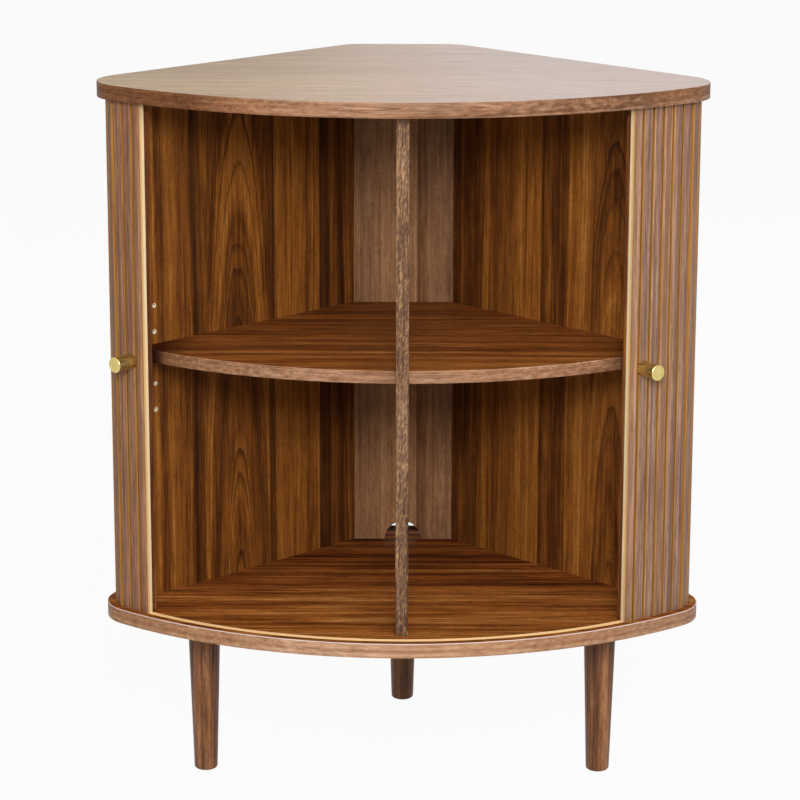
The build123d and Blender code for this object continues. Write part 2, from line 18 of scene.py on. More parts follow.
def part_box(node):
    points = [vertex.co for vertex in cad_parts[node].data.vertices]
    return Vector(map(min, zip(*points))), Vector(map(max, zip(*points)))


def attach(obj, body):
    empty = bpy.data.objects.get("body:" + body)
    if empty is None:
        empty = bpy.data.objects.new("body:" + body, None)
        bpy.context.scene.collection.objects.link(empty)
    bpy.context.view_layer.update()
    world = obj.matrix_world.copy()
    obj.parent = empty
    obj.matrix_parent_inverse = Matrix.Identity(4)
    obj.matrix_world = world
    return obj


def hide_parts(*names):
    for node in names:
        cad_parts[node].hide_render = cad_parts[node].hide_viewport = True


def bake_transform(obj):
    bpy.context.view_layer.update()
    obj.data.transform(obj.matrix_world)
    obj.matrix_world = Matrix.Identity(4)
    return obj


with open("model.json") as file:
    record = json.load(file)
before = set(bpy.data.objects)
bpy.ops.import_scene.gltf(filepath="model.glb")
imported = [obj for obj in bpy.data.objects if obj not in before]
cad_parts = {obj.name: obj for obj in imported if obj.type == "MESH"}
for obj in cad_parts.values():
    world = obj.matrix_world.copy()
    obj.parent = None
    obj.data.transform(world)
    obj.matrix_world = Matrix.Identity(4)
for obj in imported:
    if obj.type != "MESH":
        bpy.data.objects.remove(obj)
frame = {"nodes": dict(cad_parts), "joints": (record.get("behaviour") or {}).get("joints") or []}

LOG = logging.getLogger("corner_bar")
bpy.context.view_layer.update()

Colour = tuple[int, int, int]
Stops = Sequence[tuple[float, Colour]]
Number = NodeSocket | float
Paint = NodeSocket | Colour

UP = Vector((0, 0, 1))
ACROSS_FRONT = Vector((1, 0, 0))
TO_THE_REAR = Vector((0, 1, 0))
DIAGONAL = math.sqrt(0.5)
HALF_WIDTH = 0.38
TINY = 1e-6
SLAT_PLACE = "slat_place"
SLAT_STEP = 0.05
WALL_REAR = 0.2573
WHITE = (1, 1, 1, 1)
FACING = 0.95
SIDEWAYS = 0.5
RAW_FIBRES = (900, 900, 14)
RAW_DEPTH = 0.00008
TONE_PLACES = {2: (0, 1), 3: (0, 0.5, 1), 4: (0, 0.4, 0.7, 1), 5: (0, 0.3, 0.55, 0.8, 1)}


class Side(Enum):
    """Which half of the cabinet a piece belongs to; the value is the sign of its X."""

    LEFT = -1
    RIGHT = 1

    @property
    def word(self) -> str:
        """The side's name as the frame's nodes and bodies spell it."""
        return self.name.lower()


class Streaks(Enum):
    """Kinds of streak that follow the grain.

    The numbers are how many there are to the metre along the grain and across it, how finely they divide, and the
    strengths at which they begin to show and show in full.
    """

    LONG_FIBRES = (9, 230, 5, 0, 1)
    SHORT_FIBRES = (30, 460, 3, 0.5, 0.68)
    MOTTLE = (26, 60, 3, 0, 1)
    PATCHES = (2.5, 14, 2, 0.45, 0.65)
    PORES = (160, 950, 2, 0.54, 0.68)
    FLECKS = (150, 480, 3, 0.5, 0.58)
    SPARKS = (150, 480, 3, 0.42, 0.36)
    SHEEN = (16, 800, 2, 0, 1)


class SlatSlot(IntEnum):
    """Material slots of a run of slats."""

    FACE = 0
    SIDE = 1
    LEADING_EDGE = 2
    CLOTH = 3


def linear(colour: Colour) -> tuple[float, float, float, float]:
    """Turn a display colour into the linear one that shader sockets take.

    Args:
        colour: Red, green and blue from 0 to 255, as seen on a display.

    Returns:
        The linear colour, with full alpha.
    """
    shares = [value / 255 for value in colour]
    channels = [share / 12.92 if share <= 0.04045 else ((share + 0.055) / 1.055) ** 2.4 for share in shares]
    return (*channels, 1.0)


def tones(*colours: Colour) -> Stops:
    """Spread a wood's colours over 0 to 1, from its darkest streaks to its palest."""
    return tuple(zip(TONE_PLACES[len(colours)], colours))


def heading(angle: float) -> Vector:
    """Unit vector at an angle from +X, in radians, seen from above."""
    return Vector((math.cos(angle), math.sin(angle), 0))


class Graph:
    """The nodes of a material or a world, with short calls for what the finishes share."""

    def __init__(self, owner: Material | World) -> None:
        """Start an empty node tree.

        Args:
            owner: The material or world that the tree belongs to.
        """
        owner.use_nodes = True
        self.owner = owner
        self.tree = owner.node_tree
        self.tree.nodes.clear()

    @classmethod
    def named(cls, name: str) -> Graph:
        """Start an empty material with a name."""
        return cls(bpy.data.materials.new(name))

    def node(self, kind: str, inputs: Mapping[str | int, object] | None = None, **settings: object) -> Node:
        """Add a node.

        Args:
            kind: The node's type without its "ShaderNode" prefix.
            inputs: Values of its sockets, or the sockets that feed them, by name or number.
            **settings: Properties to set on it.

        Returns:
            The new node.
        """
        made = self.tree.nodes.new("ShaderNode" + kind)
        for key, value in settings.items():
            setattr(made, key, value)
        for key, value in (inputs or {}).items():
            if isinstance(value, NodeSocket):
                self.tree.links.new(value, made.inputs[key])
            else:
                made.inputs[key].default_value = value
        return made

    def math(self, operation: str, *values: Number) -> NodeSocket:
        """Join numbers with a Math node."""
        return self.node("Math", dict(enumerate(values)), operation=operation).outputs[0]

    def times(self, first: Number, second: Number) -> NodeSocket:
        """Multiply two numbers."""
        return self.math("MULTIPLY", first, second)

    def sum_of_squares(self, first: NodeSocket, second: NodeSocket) -> NodeSocket:
        """Add the squares of two numbers."""
        return self.math("MULTIPLY_ADD", first, first, self.times(second, second))

    def place(self) -> NodeSocket:
        """Where the shaded point is."""
        return self.node("TexCoord").outputs["Object"]

    def slat_place(self) -> NodeSocket:
        """Where the shaded point is in its slat, with the slats lying side by side."""
        return self.node("Attribute", attribute_name=SLAT_PLACE).outputs["Vector"]

    def dot(self, place: NodeSocket, way: Vector) -> NodeSocket:
        """How far a place lies along a direction."""
        return self.node("VectorMath", {0: place, 1: way}, operation="DOT_PRODUCT").outputs["Value"]

    def turn(self) -> NodeSocket:
        """Angle of the shaded point round the cabinet's middle, from straight ahead towards the right."""
        place = self.place()
        return self.math("ARCTAN2", self.dot(place, ACROSS_FRONT), self.dot(place, -TO_THE_REAR))

    def scaled(self, place: NodeSocket, counts: Sequence[float]) -> NodeSocket:
        """Stretch a place along X, Y and Z."""
        return self.node("VectorMath", {0: place, 1: counts}, operation="MULTIPLY").outputs[0]

    def joined(self, *parts: Number) -> NodeSocket:
        """A vector of three numbers."""
        return self.node("CombineXYZ", dict(enumerate(parts))).outputs[0]

    def noise(self, place: NodeSocket, detail: float = 2, roughness: float = 0.5) -> NodeSocket:
        """Noise from 0 to 1 over a place."""
        inputs = {"Vector": place, "Scale": 1.0, "Detail": detail, "Roughness": roughness}
        return self.node("TexNoise", inputs).outputs[0]

    def grains(self, place: NodeSocket, counts: Sequence[float], detail: float = 3) -> NodeSocket:
        """Noise from 0 to 1 over a place, with so many grains to the metre along X, Y and Z."""
        return self.noise(self.scaled(place, counts), detail, 0.6)

    def chance(self, number: NodeSocket) -> NodeSocket:
        """A chance number from 0 to 1 for each whole number."""
        return self.node("TexWhiteNoise", {"W": number}, noise_dimensions="1D").outputs[0]

    def within(self, value: NodeSocket, low: float, high: float) -> NodeSocket:
        """Stretch the part of a number between two limits to 0 to 1."""
        return self.node("MapRange", {"Value": value, "From Min": low, "From Max": high}, clamp=True).outputs[0]

    def ramp(self, value: NodeSocket, stops: Stops) -> NodeSocket:
        """Colours along a number.

        Args:
            value: The number, from 0 to 1.
            stops: Places on it with their display colours.

        Returns:
            The colour.
        """
        made = self.node("ValToRGB", {0: value})
        elements = made.color_ramp.elements
        while len(elements) < len(stops):
            elements.new(1.0)
        for element, (place, colour) in zip(elements, stops):
            element.position = place
            element.color = linear(colour)
        return made.outputs[0]

    def mix(self, share: Number, first: Paint, second: Paint, blend: str = "MIX") -> NodeSocket:
        """Mix two colours, with a share of the second one from 0 to 1."""
        first, second = [paint if isinstance(paint, NodeSocket) else linear(paint) for paint in (first, second)]
        return self.node("Mix", {0: share, 6: first, 7: second}, data_type="RGBA", blend_type=blend).outputs[2]

    def bump(self, height: NodeSocket, distance: float, strength: float) -> NodeSocket:
        """A normal bent by a height, with its distance in metres."""
        return self.node("Bump", {"Height": height, "Distance": distance, "Strength": strength}).outputs[0]

    def seen(self) -> NodeSocket:
        """Find whether the camera sees the surface, also in a mirror or through glass.

        Returns:
            1 where it does, and 0 for all other light.
        """
        rays = self.node("LightPath").outputs
        direct = self.math("MAXIMUM", rays["Is Camera Ray"], rays["Is Glossy Ray"])
        return self.math("MAXIMUM", direct, rays["Is Transmission Ray"])

    def finish(self, colour: NodeSocket, roughness: Number, normal: NodeSocket, **others: float) -> Material:
        """Close the material with a Principled surface.

        Args:
            colour: The base colour.
            roughness: The roughness.
            normal: The bent normal.
            **others: Other sockets by name, with underscores for spaces.

        Returns:
            The finished material.
        """
        inputs = {key.replace("_", " "): value for key, value in others.items()}
        inputs |= {"Base Color": colour, "Roughness": roughness, "Normal": normal}
        self.node("OutputMaterial", {"Surface": self.node("BsdfPrincipled", inputs).outputs[0]})
        return self.owner


class LastStep:
    """A last change to a veneer's colour."""

    def over(self, graph: Graph, colour: NodeSocket) -> NodeSocket:
        """Change the colour."""
        raise NotImplementedError


@dataclass(frozen=True)
class AcrossShades(LastStep):
    """Painted light and shade with the wood's own tone, multiplied in from the cabinet's left end to its right end.
    """

    stops: Stops

    def share(self, graph: Graph) -> NodeSocket:
        """How far the point is along the shades."""
        return graph.within(graph.dot(graph.place(), ACROSS_FRONT), -HALF_WIDTH, HALF_WIDTH)

    def over(self, graph: Graph, colour: NodeSocket) -> NodeSocket:
        """Multiply the shades into the colour."""
        return graph.mix(1.0, colour, graph.ramp(self.share(graph), self.stops), "MULTIPLY")


class RoundShades(AcrossShades):
    """Painted light and shade with the wood's own tone, multiplied in from the rear by the left side, the front and
    the right side.
    """

    def share(self, graph: Graph) -> NodeSocket:
        """How far the point is along the shades."""
        return graph.within(graph.turn(), -math.pi, math.pi)


@dataclass(frozen=True)
class Stain(LastStep):
    """Painted shade in one place of a board, where a shadow falls.

    The limits are directions, each with the distance at which the painted shade begins and the one at which it is
    full.
    """

    limits: Sequence[tuple[Vector, float, float]]
    shade: Colour

    def over(self, graph: Graph, colour: NodeSocket) -> NodeSocket:
        """Multiply the painted shade into the colour.

        Args:
            graph: The material's nodes.
            colour: The veneer's colour.

        Returns:
            The colour with the painted shade.
        """
        place = graph.place()
        share: Number = 1.0
        for way, begins, full in self.limits:
            share = graph.times(share, graph.within(graph.dot(place, way), begins, full))
        return graph.mix(share, colour, self.shade, "MULTIPLY")


@dataclass(frozen=True)
class BareBand(LastStep):
    """A pale band between two heights: bare board where a groove is cut, and on the base band's eased edge a painted
    highlight.
    """

    bottom: float
    top: float
    # Bare board colour in a groove; on the base band's eased edge this colour is a painted highlight.
    bare: Colour = (236, 202, 148)

    def over(self, graph: Graph, colour: NodeSocket) -> NodeSocket:
        """Mix the pale band into the colour.

        Args:
            graph: The material's nodes.
            colour: The veneer's colour.

        Returns:
            The colour with the pale band.
        """
        height = graph.dot(graph.place(), UP)
        above = graph.math("GREATER_THAN", height, self.bottom)
        below = graph.math("LESS_THAN", height, self.top)
        return graph.mix(graph.times(above, below), colour, self.bare)


@dataclass(frozen=True)
class BareHoles(LastStep):
    """Bare pale board in and round the column of shelf pin holes in a wall."""

    side: Side
    forwards: float = 0.2642
    lowest: float = 0.4735
    pitch: float = 0.034
    middle_hole: float = 2.0
    holes_each_way: float = 2.4
    reach: float = 0.0031
    bare: Colour = (244, 234, 206)

    def over(self, graph: Graph, colour: NodeSocket) -> NodeSocket:
        """Mix the bare board into the colour.

        Args:
            graph: The material's nodes.
            colour: The veneer's colour.

        Returns:
            The colour with the bare board.
        """
        place = graph.place()
        to_the_front = Vector((self.side.value, -1, 0)).normalized()
        beside = graph.math("SUBTRACT", graph.dot(place, to_the_front), self.forwards)
        steps = graph.times(graph.math("SUBTRACT", graph.dot(place, UP), self.lowest), 1 / self.pitch)
        above = graph.times(graph.math("SUBTRACT", steps, graph.math("ROUND", steps)), self.pitch)
        near = graph.math("LESS_THAN", graph.sum_of_squares(beside, above), self.reach ** 2)
        in_column = graph.math("COMPARE", steps, self.middle_hole, self.holes_each_way)
        return graph.mix(graph.times(near, in_column), colour, self.bare)


@dataclass(frozen=True)
class Leaf:
    """One strip of veneer in a face.

    Its start is a distance across the grain, and it ends where the next leaf starts. The heart is where the
    middle of the log lies under the face: inside the leaf it draws arches, and far outside it straight grain.
    """

    start: float
    heart: float
    tone: float = 0.0
    lines: float = 0.6


def strips(*rows: tuple[float, float, float, float]) -> tuple[Leaf, ...]:
    """The leaves of a face, from rows of start, heart, tone and lines."""
    return tuple(Leaf(*row) for row in rows)


@dataclass(frozen=True)
class WoodPlace:
    """Where a shaded point lies in its wood: along the grain, across it, and into the face."""

    graph: Graph
    along: NodeSocket
    across: NodeSocket
    into: NodeSocket


@dataclass(frozen=True)
class Veneer:
    """Sliced walnut veneer: the log's rings meet the face as long arches or straight lines.

    Distances are in metres. The grain runs along one direction, and the leaves lie side by side across it. The drift
    and the ripple by which the rings stray from their circles are waves to the metre along the grain and across it,
    and how many times the wander they reach. Late wood and line end are the shares of a year between which its dark
    line comes and goes.
    """

    name: str
    stops: Stops
    along: Vector = UP
    across: Vector = ACROSS_FRONT
    leaves: Sequence[Leaf] = (Leaf(-1.0, 0.3),)
    heart_depth: float = 0.02
    rise: float = 0.06
    start: float = 0.0
    wander: float = 0.008
    drift: Sequence[float] = (3.0, 9.0, 2.0)
    ripple: Sequence[float] = (14.0, 70.0, 0.5)
    leaf_seeds: float = 3.7
    band_scale: float = 40.0
    band_contrast: float = 1.0
    band_reach: float = 2.2
    line_density: float = 230.0
    line_colour: Colour = (38, 19, 7)
    line_depth: float = 0.75
    line_chance: float = 1.8
    late_wood: tuple[float, float] = (0.5, 0.9)
    line_end: tuple[float, float] = (1.0, 0.94)
    fibre: float = 0.35
    fibre_reach: float = 4.5
    short_fibre_reach: float = 1.3
    streak_roughness: float = 0.62
    fineness: float = 1.0
    mottle: float = 0.35
    pores: float = 0.5
    flecks: float = 0.0
    fleck_lean: float = -0.2
    spark_share: float = 0.7
    warmth: float = 0.2
    warm: Colour = (150, 92, 40)
    roughness: float = 0.45
    roughness_spread: float = 0.14
    grain_depth: float = 0.00006
    gloss: float = 0.3
    seed: float = 0.0

    def place(self, graph: Graph) -> NodeSocket:
        """Where the shaded point is in the wood."""
        return graph.place()

    def by_leaf(self, wood: WoodPlace, values: Sequence[float]) -> Number:
        """A number that changes from leaf to leaf.

        Args:
            wood: Where the point lies.
            values: The number in each leaf.

        Returns:
            The number, as a socket where there is more than one leaf.
        """
        total: Number = values[0]
        for leaf, before, value in zip(self.leaves[1:], values, values[1:]):
            passed = wood.graph.math("GREATER_THAN", wood.across, leaf.start)
            total = wood.graph.math("MULTIPLY_ADD", passed, value - before, total)
        return total

    def waver(self, wood: WoodPlace, seed: Number, waves: Sequence[float]) -> NodeSocket:
        """How far the rings stray from their circles.

        Args:
            wood: Where the point lies.
            seed: The leaf's seed.
            waves: Waves to the metre along the grain and across it, and how many times the wander they reach.

        Returns:
            The distance.
        """
        graph, (along, across, reach) = wood.graph, waves
        place = graph.joined(graph.times(wood.along, along), graph.times(wood.across, across), seed)
        return graph.times(graph.math("SUBTRACT", graph.noise(place), 0.5), self.wander * reach)

    def radius(self, wood: WoodPlace) -> NodeSocket:
        """Distance from the heart of the log, which its rings follow.

        Args:
            wood: Where the point lies.

        Returns:
            The distance, which also differs from leaf to leaf.
        """
        graph = wood.graph
        seed = self.by_leaf(wood, [index * self.leaf_seeds + self.seed for index in range(len(self.leaves))])
        drift = self.waver(wood, seed, self.drift)
        ripple = self.waver(wood, seed, self.ripple)
        hearts = self.by_leaf(wood, [leaf.heart for leaf in self.leaves])
        side = graph.math("ADD", graph.math("SUBTRACT", wood.across, hearts), drift)
        climb = graph.times(graph.math("SUBTRACT", wood.along, self.start), self.rise)
        depth = graph.math("ADD", climb, self.heart_depth)
        radius = graph.math("ADD", graph.math("SQRT", graph.sum_of_squares(side, depth)), ripple)
        return graph.math("ADD", radius, seed)

    def ring_lines(self, wood: WoodPlace, radius: NodeSocket) -> NodeSocket:
        """Thin dark lines where a year's growth ends, each of its own strength.

        Args:
            wood: Where the point lies.
            radius: Its distance from the heart of the log.

        Returns:
            How strongly the line shows.
        """
        graph = wood.graph
        years = graph.times(radius, self.line_density)
        share = graph.math("FRACT", years)
        strength = graph.math("POWER", graph.chance(graph.math("FLOOR", years)), self.line_chance)
        late = graph.times(graph.within(share, *self.late_wood), graph.within(share, *self.line_end))
        shown = graph.times(graph.times(late, strength), self.line_depth)
        return graph.times(shown, self.by_leaf(wood, [leaf.lines for leaf in self.leaves]))

    def streaks(self, wood: WoodPlace, kind: Streaks) -> NodeSocket:
        """Streaks that follow the grain.

        Args:
            wood: Where the point lies.
            kind: Which streaks.

        Returns:
            How strongly they show, from 0 to 1.
        """
        along, across, detail, begins, full = kind.value
        sizes = ((wood.along, along), (wood.across, across), (wood.into, across))
        place = wood.graph.joined(*[wood.graph.times(way, size * self.fineness) for way, size in sizes])
        return wood.graph.within(wood.graph.noise(place, detail, self.streak_roughness), begins, full)

    def colour(self, wood: WoodPlace) -> NodeSocket:
        """The veneer's colour.

        Args:
            wood: Where the point lies.

        Returns:
            The colour.
        """
        graph, radius = wood.graph, self.radius(wood)
        bands = {"W": radius, "Scale": self.band_scale, "Detail": 3, "Roughness": 0.6}
        tone: Number = 0.5
        for waves, strength in (
            (graph.node("TexNoise", bands, noise_dimensions="1D").outputs[0], self.band_reach * self.band_contrast),
            (self.streaks(wood, Streaks.LONG_FIBRES), self.fibre_reach * self.fibre),
            (self.streaks(wood, Streaks.MOTTLE), self.mottle),
        ):
            tone = graph.math("MULTIPLY_ADD", graph.math("SUBTRACT", waves, 0.5), strength, tone)
        tone = graph.math("ADD", tone, self.by_leaf(wood, [leaf.tone for leaf in self.leaves]))
        short_fibres = self.streaks(wood, Streaks.SHORT_FIBRES)
        layers = [
            (graph.times(self.streaks(wood, Streaks.PATCHES), self.warmth), self.warm),
            (self.ring_lines(wood, radius), self.line_colour),
            (graph.times(short_fibres, self.short_fibre_reach * self.fibre), self.line_colour),
            (graph.times(self.streaks(wood, Streaks.PORES), self.pores), self.line_colour),
        ]
        if self.flecks:
            leaning = replace(wood, across=graph.math("MULTIPLY_ADD", wood.along, self.fleck_lean, wood.across))
            layers += [
                (graph.times(self.streaks(leaning, Streaks.FLECKS), self.flecks), self.line_colour),
                (graph.times(self.streaks(leaning, Streaks.SPARKS), self.spark_share * self.flecks), self.warm),
            ]
        colour = graph.ramp(tone, self.stops)
        for share, layer in layers:
            colour = graph.mix(share, colour, layer)
        return colour

    def material(self, *last_steps: LastStep) -> Material:
        """Make the material.

        Args:
            *last_steps: Last changes to the colour, such as a bare band.

        Returns:
            The material.
        """
        graph = Graph.named(self.name)
        place = self.place(graph)
        ways = (self.along, self.across, self.along.cross(self.across))
        wood = WoodPlace(graph, *[graph.dot(place, way) for way in ways])
        colour = self.colour(wood)
        for step in last_steps:
            colour = step.over(graph, colour)
        sheen = self.streaks(wood, Streaks.SHEEN)
        even = self.roughness - self.roughness_spread / 2
        roughness = graph.math("MULTIPLY_ADD", sheen, self.roughness_spread, even)
        normal = graph.bump(sheen, self.grain_depth, 0.5)
        return graph.finish(colour, roughness, normal, Specular_IOR_Level=self.gloss)


@dataclass(frozen=True)
class BoardVeneer(Veneer):
    """Veneer on the boards and the shelf: the grain runs from side to side."""

    along: Vector = ACROSS_FRONT
    across: Vector = TO_THE_REAR


@dataclass(frozen=True)
class BandVeneer(Veneer):
    """Veneer on a band that goes round the cabinet: the grain runs round its middle."""

    along: Vector = ACROSS_FRONT
    across: Vector = UP
    turn_radius: float = HALF_WIDTH

    def place(self, graph: Graph) -> NodeSocket:
        """Where the shaded point is on the band, laid out flat.

        Args:
            graph: The material's nodes.

        Returns:
            Distance round the band, towards its middle, and height.
        """
        place = graph.place()
        sideways, ahead = graph.dot(place, ACROSS_FRONT), graph.dot(place, -TO_THE_REAR)
        inwards = graph.times(graph.math("SQRT", graph.sum_of_squares(sideways, ahead)), -1.0)
        return graph.joined(graph.times(graph.turn(), self.turn_radius), inwards, graph.dot(place, UP))


@dataclass(frozen=True)
class SlatVeneer(Veneer):
    """Slat faces: each slat has its own tone, and the grain follows it up and down."""

    kinds: Stops = ()
    variety: float = 0.28

    def place(self, graph: Graph) -> NodeSocket:
        """Where the shaded point is in its slat."""
        return graph.slat_place()

    def colour(self, wood: WoodPlace) -> NodeSocket:
        """The veneer's colour, turned towards each slat's own.

        Args:
            wood: Where the point lies.

        Returns:
            The colour.
        """
        graph = wood.graph
        slat = graph.math("FLOOR", graph.math("MULTIPLY_ADD", wood.across, 1 / SLAT_STEP, 0.5 + self.seed))
        return graph.mix(self.variety, super().colour(wood), graph.ramp(graph.chance(slat), self.kinds))


@dataclass(frozen=True)
class RawWood:
    """Bare wood of slat sides and dowels."""

    name: str
    pale: Colour
    deep: Colour
    speck: Colour = (120, 84, 40)
    roughness: float = 0.7

    def material(self) -> Material:
        """Make the material.

        Returns:
            The material.
        """
        graph = Graph.named(self.name)
        fibres = graph.grains(graph.place(), RAW_FIBRES)
        specks = graph.noise(graph.scaled(graph.place(), (2400, 2400, 160)), 1)
        colour = graph.ramp(graph.within(fibres, 0.3, 0.7), tones(self.deep, self.pale))
        colour = graph.mix(graph.times(graph.within(specks, 0.6, 0.75), 0.3), colour, self.speck)
        return graph.finish(colour, self.roughness, graph.bump(fibres, RAW_DEPTH, 0.6))


@dataclass(frozen=True)
class LeadingEdge:
    """Bare plies of the slat that leads a door: cream at the cloth's side, golden at the face."""

    name: str
    plies: Stops = ((0, (240, 218, 176)), (0.5, (238, 214, 168)), (0.6, (222, 182, 126)), (1, (206, 160, 104)))
    streak: Colour = (206, 164, 108)
    thickness: float = 0.008
    roughness: float = 0.65

    def material(self) -> Material:
        """Make the material.

        Returns:
            The material.
        """
        graph = Graph.named(self.name)
        place = graph.slat_place()
        fibres = graph.grains(place, RAW_FIBRES)
        colour = graph.ramp(graph.within(graph.dot(place, TO_THE_REAR), 0, self.thickness), self.plies)
        colour = graph.mix(graph.times(graph.within(fibres, 0.4, 0.75), 0.35), colour, self.streak)
        return graph.finish(colour, self.roughness, graph.bump(fibres, RAW_DEPTH, 0.6), Specular_IOR_Level=0.2)


@dataclass(frozen=True)
class Canvas:
    """Woven backing cloth, with the colour of its threads' tops and the colour between them."""

    name: str
    thread: Colour
    shade: Colour
    threads: float = 7800.0
    thread_depth: float = 0.0002
    roughness: float = 0.95

    def material(self) -> Material:
        """Make the material.

        Returns:
            The material.
        """
        graph = Graph.named(self.name)
        ways = (graph.times(graph.turn(), HALF_WIDTH), graph.dot(graph.place(), UP))
        warp, weft = [graph.math("SINE", graph.times(way, self.threads)) for way in ways]
        weave = graph.within(graph.times(warp, weft), -1, 1)
        slubs = graph.noise(graph.scaled(graph.place(), (160, 160, 700)))
        colour = graph.mix(weave, self.shade, self.thread)
        colour = graph.mix(graph.times(slubs, 0.25), colour, self.shade)
        return graph.finish(colour, self.roughness, graph.bump(weave, self.thread_depth, 0.8), Sheen_Weight=0.2)


@dataclass(frozen=True)
class Fitting:
    """Metal or plastic with fine marks and a cloudy bloom, each with its counts to the metre along X, Y and Z."""

    name: str
    bright: Colour
    dull: Colour
    marks: Sequence[float]
    bloom: Sequence[float]
    detail: float = 3
    dull_limits: tuple[float, float] = (0, 1)
    roughness: float = 0.2
    roughness_spread: float = 0.22
    depth: float = 0.00003
    strength: float = 0.5
    metallic: float = 1.0

    def material(self) -> Material:
        """Make the material.

        Returns:
            The material.
        """
        graph = Graph.named(self.name)
        marks, bloom = [graph.grains(graph.place(), counts, self.detail) for counts in (self.marks, self.bloom)]
        colour = graph.mix(graph.within(bloom, *self.dull_limits), self.bright, self.dull)
        roughness = graph.math("MULTIPLY_ADD", marks, self.roughness_spread, self.roughness)
        return graph.finish(colour, roughness, graph.bump(marks, self.depth, self.strength), Metallic=self.metallic)


def wall_strips(*marks: tuple[float, float, float, float]) -> tuple[Leaf, ...]:
    """The leaves of an inner wall, whose starts and hearts are marked from its rear.

    Args:
        *marks: Rows of start, heart, tone and lines, with the start and heart as distances sideways.

    Returns:
        The leaves.
    """
    scale = 2 * DIAGONAL
    rear = -WALL_REAR * DIAGONAL
    return strips(*[(rear + start * scale, rear + heart * scale, tone, lines) for start, heart, tone, lines in marks])


